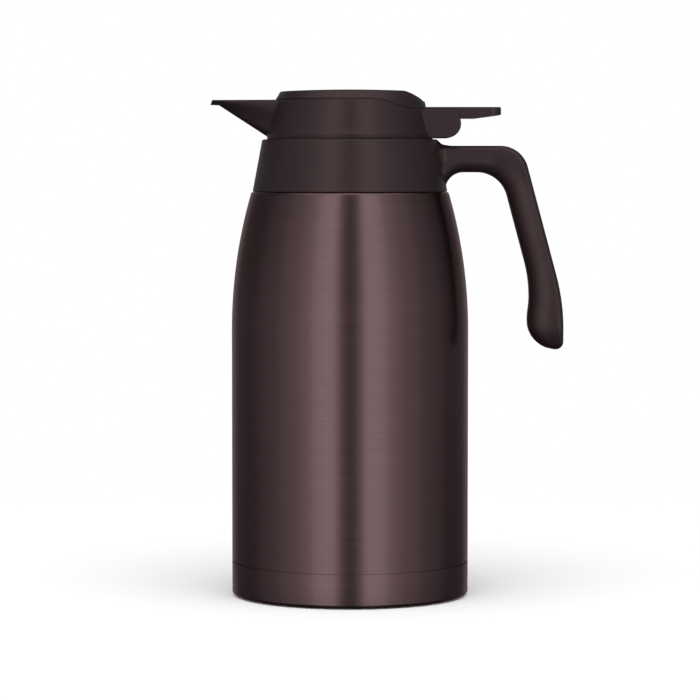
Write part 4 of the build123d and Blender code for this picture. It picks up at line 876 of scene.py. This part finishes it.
def plain_light(tree, direction, way, stage):
    """What lights matte surfaces: an even light with more of it from the front, above and overhead."""
    lamp = (0.0, -0.8, 0.6)
    facing = add_node(tree, "ShaderNodeVectorMath", {"operation": "DOT_PRODUCT"}, {1: lamp}, {0: direction})
    lobe = add_node(tree, "ShaderNodeMath", {"operation": "MAXIMUM"}, {1: 0.0}, {0: facing.outputs["Value"]})
    squared = add_node(tree, "ShaderNodeMath", {"operation": "POWER"}, {1: 2.0}, {0: lobe.outputs[0]})
    keyed = add_node(tree, "ShaderNodeMath", {"operation": "MULTIPLY_ADD"}, {1: stage.key, 2: stage.ambient},
                     {0: squared.outputs[0]})
    up = add_node(tree, "ShaderNodeMath", {"operation": "MAXIMUM"}, {1: 0.0}, {0: way["Z"]})
    return add_node(tree, "ShaderNodeMath", {"operation": "MULTIPLY_ADD"}, {1: stage.overhead},
                    {0: up.outputs[0], 2: keyed.outputs[0]}).outputs[0]


def studio_world(stage):
    """White to the camera, softboxes to gloss, and a plain frontal light to everything else."""
    world = bpy.data.worlds.new("white_studio")
    world.use_nodes = True
    world.cycles.sampling_method = "NONE"
    tree = world.node_tree
    tree.nodes.clear()
    direction = add_node(tree, "ShaderNodeTexCoord").outputs["Generated"]
    way = add_node(tree, "ShaderNodeSeparateXYZ", links={0: direction}).outputs
    ray = add_node(tree, "ShaderNodeLightPath").outputs
    lit = add_node(tree, "ShaderNodeMix", {"data_type": "RGBA"},
                   links={0: ray["Is Glossy Ray"], 6: plain_light(tree, direction, way, stage),
                          7: mirrored_room(tree, way)})
    seen = add_node(tree, "ShaderNodeMath", {"operation": "MAXIMUM"},
                    links={0: ray["Is Camera Ray"], 1: ray["Is Transmission Ray"]})
    final = add_node(tree, "ShaderNodeMix", {"data_type": "RGBA"}, {7: linear("#FFFFFF")},
                     {0: seen.outputs[0], 6: lit.outputs[2]})
    sky = add_node(tree, "ShaderNodeBackground", links={"Color": final.outputs[2]})
    add_node(tree, "ShaderNodeOutputWorld", links={"Surface": sky.outputs[0]})
    bpy.context.scene.world = world


def pale_floor(stage):
    """Matte white floor that keeps the object's shadow and runs out into plain white."""
    material, tree, place = new_material("matte_white_floor")
    away = add_node(tree, "ShaderNodeVectorMath", {"operation": "LENGTH"}, links={0: place})
    fade = add_node(tree, "ShaderNodeMapRange", {"interpolation_type": "SMOOTHSTEP"},
                    {"From Min": 0.16, "From Max": 0.55}, {"Value": away.outputs["Value"]})
    matte = add_node(tree, "ShaderNodeBsdfDiffuse", values={"Color": linear("#FDFDFD")})
    white = add_node(tree, "ShaderNodeEmission", values={"Strength": 1.0})
    shown = add_node(tree, "ShaderNodeMixShader",
                     links={0: fade.outputs["Result"], 1: matte.outputs[0], 2: white.outputs[0]})
    ray = add_node(tree, "ShaderNodeLightPath").outputs
    bounce = add_node(tree, "ShaderNodeEmission", values={"Strength": stage.bounce})
    lower = add_node(tree, "ShaderNodeMixShader",
                     links={0: ray["Is Diffuse Ray"], 1: shown.outputs[0], 2: bounce.outputs[0]})
    # From below, and to gloss, the floor isn't there.
    under = add_node(tree, "ShaderNodeNewGeometry").outputs["Backfacing"]
    gone = add_node(tree, "ShaderNodeMath", {"operation": "MAXIMUM"},
                    links={0: under, 1: ray["Is Glossy Ray"]})
    clear = add_node(tree, "ShaderNodeBsdfTransparent")
    final = add_node(tree, "ShaderNodeMixShader",
                     links={0: gone.outputs[0], 1: lower.outputs[0], 2: clear.outputs[0]})
    add_node(tree, "ShaderNodeOutputMaterial", links={"Surface": final.outputs[0]})
    mesh = bpy.data.meshes.new("studio_floor")
    shape = bmesh.new()
    bmesh.ops.create_circle(shape, cap_ends=True, segments=96, radius=stage.floor_radius)
    shape.to_mesh(mesh)
    shape.free()
    mesh.materials.append(material)
    link_object("studio_floor", mesh)


class CARAFE_OT_stage(bpy.types.Operator):
    """Set up the white studio: floor, light and camera"""
    bl_idname = "carafe.stage"
    bl_label = "Stage"

    def execute(self, context):
        stage = context.scene.carafe_stage
        studio_world(stage)
        pale_floor(stage)
        camera = link_object("camera", bpy.data.cameras.new("camera"))
        camera.location = stage.camera_place
        camera.rotation_euler = Euler((math.pi / 2 - stage.camera_pitch, 0.0, 0.0))
        camera.data.lens = stage.lens
        camera.data.sensor_width = 36.0
        context.scene.camera = camera
        context.scene.view_settings.view_transform = "Standard"
        return {"FINISHED"}


# -------- panel and registration
OPERATORS = (CARAFE_OT_outer_shell, CARAFE_OT_base_cup, CARAFE_OT_vessel_inside, CARAFE_OT_foot,
             CARAFE_OT_collar_handle, CARAFE_OT_neck_fittings, CARAFE_OT_stopper, CARAFE_OT_flip_lid,
             CARAFE_OT_lid_spring, CARAFE_OT_stage)
GROUPS = {"carafe_steel": CarafeSteel, "carafe_handle": CarafeHandle, "carafe_plastic": CarafePlastic,
          "carafe_spring": CarafeSpring, "carafe_stage": CarafeStage}


class CARAFE_PT_panel(bpy.types.Panel):
    """Sizes, colours and pieces of the carafe"""
    bl_idname = "CARAFE_PT_panel"
    bl_label = "Thermal carafe"
    bl_space_type = "VIEW_3D"
    bl_region_type = "UI"
    bl_category = "Carafe"

    def draw(self, context):
        for name, group in GROUPS.items():
            box = self.layout.box()
            for prop in group.__annotations__:
                box.prop(getattr(context.scene, name), prop)
        column = self.layout.column(align=True)
        for operator in OPERATORS:
            column.operator(operator.bl_idname)


def register():
    for cls in (*GROUPS.values(), *OPERATORS, CARAFE_PT_panel):
        bpy.utils.register_class(cls)
    for name, group in GROUPS.items():
        setattr(bpy.types.Scene, name, PointerProperty(type=group))


def unregister():
    for name in GROUPS:
        delattr(bpy.types.Scene, name)
    for cls in (CARAFE_PT_panel, *reversed(OPERATORS), *reversed(GROUPS.values())):
        bpy.utils.unregister_class(cls)


def main():
    register()
    bpy.ops.carafe.outer_shell()
    bpy.ops.carafe.base_cup()
    bpy.ops.carafe.vessel_inside()
    bpy.ops.carafe.foot()
    bpy.ops.carafe.collar_handle()
    bpy.ops.carafe.neck_fittings()
    bpy.ops.carafe.stopper()
    bpy.ops.carafe.flip_lid()
    bpy.ops.carafe.lid_spring()
    bpy.ops.carafe.stage()


if __name__ == "__main__":
    main()
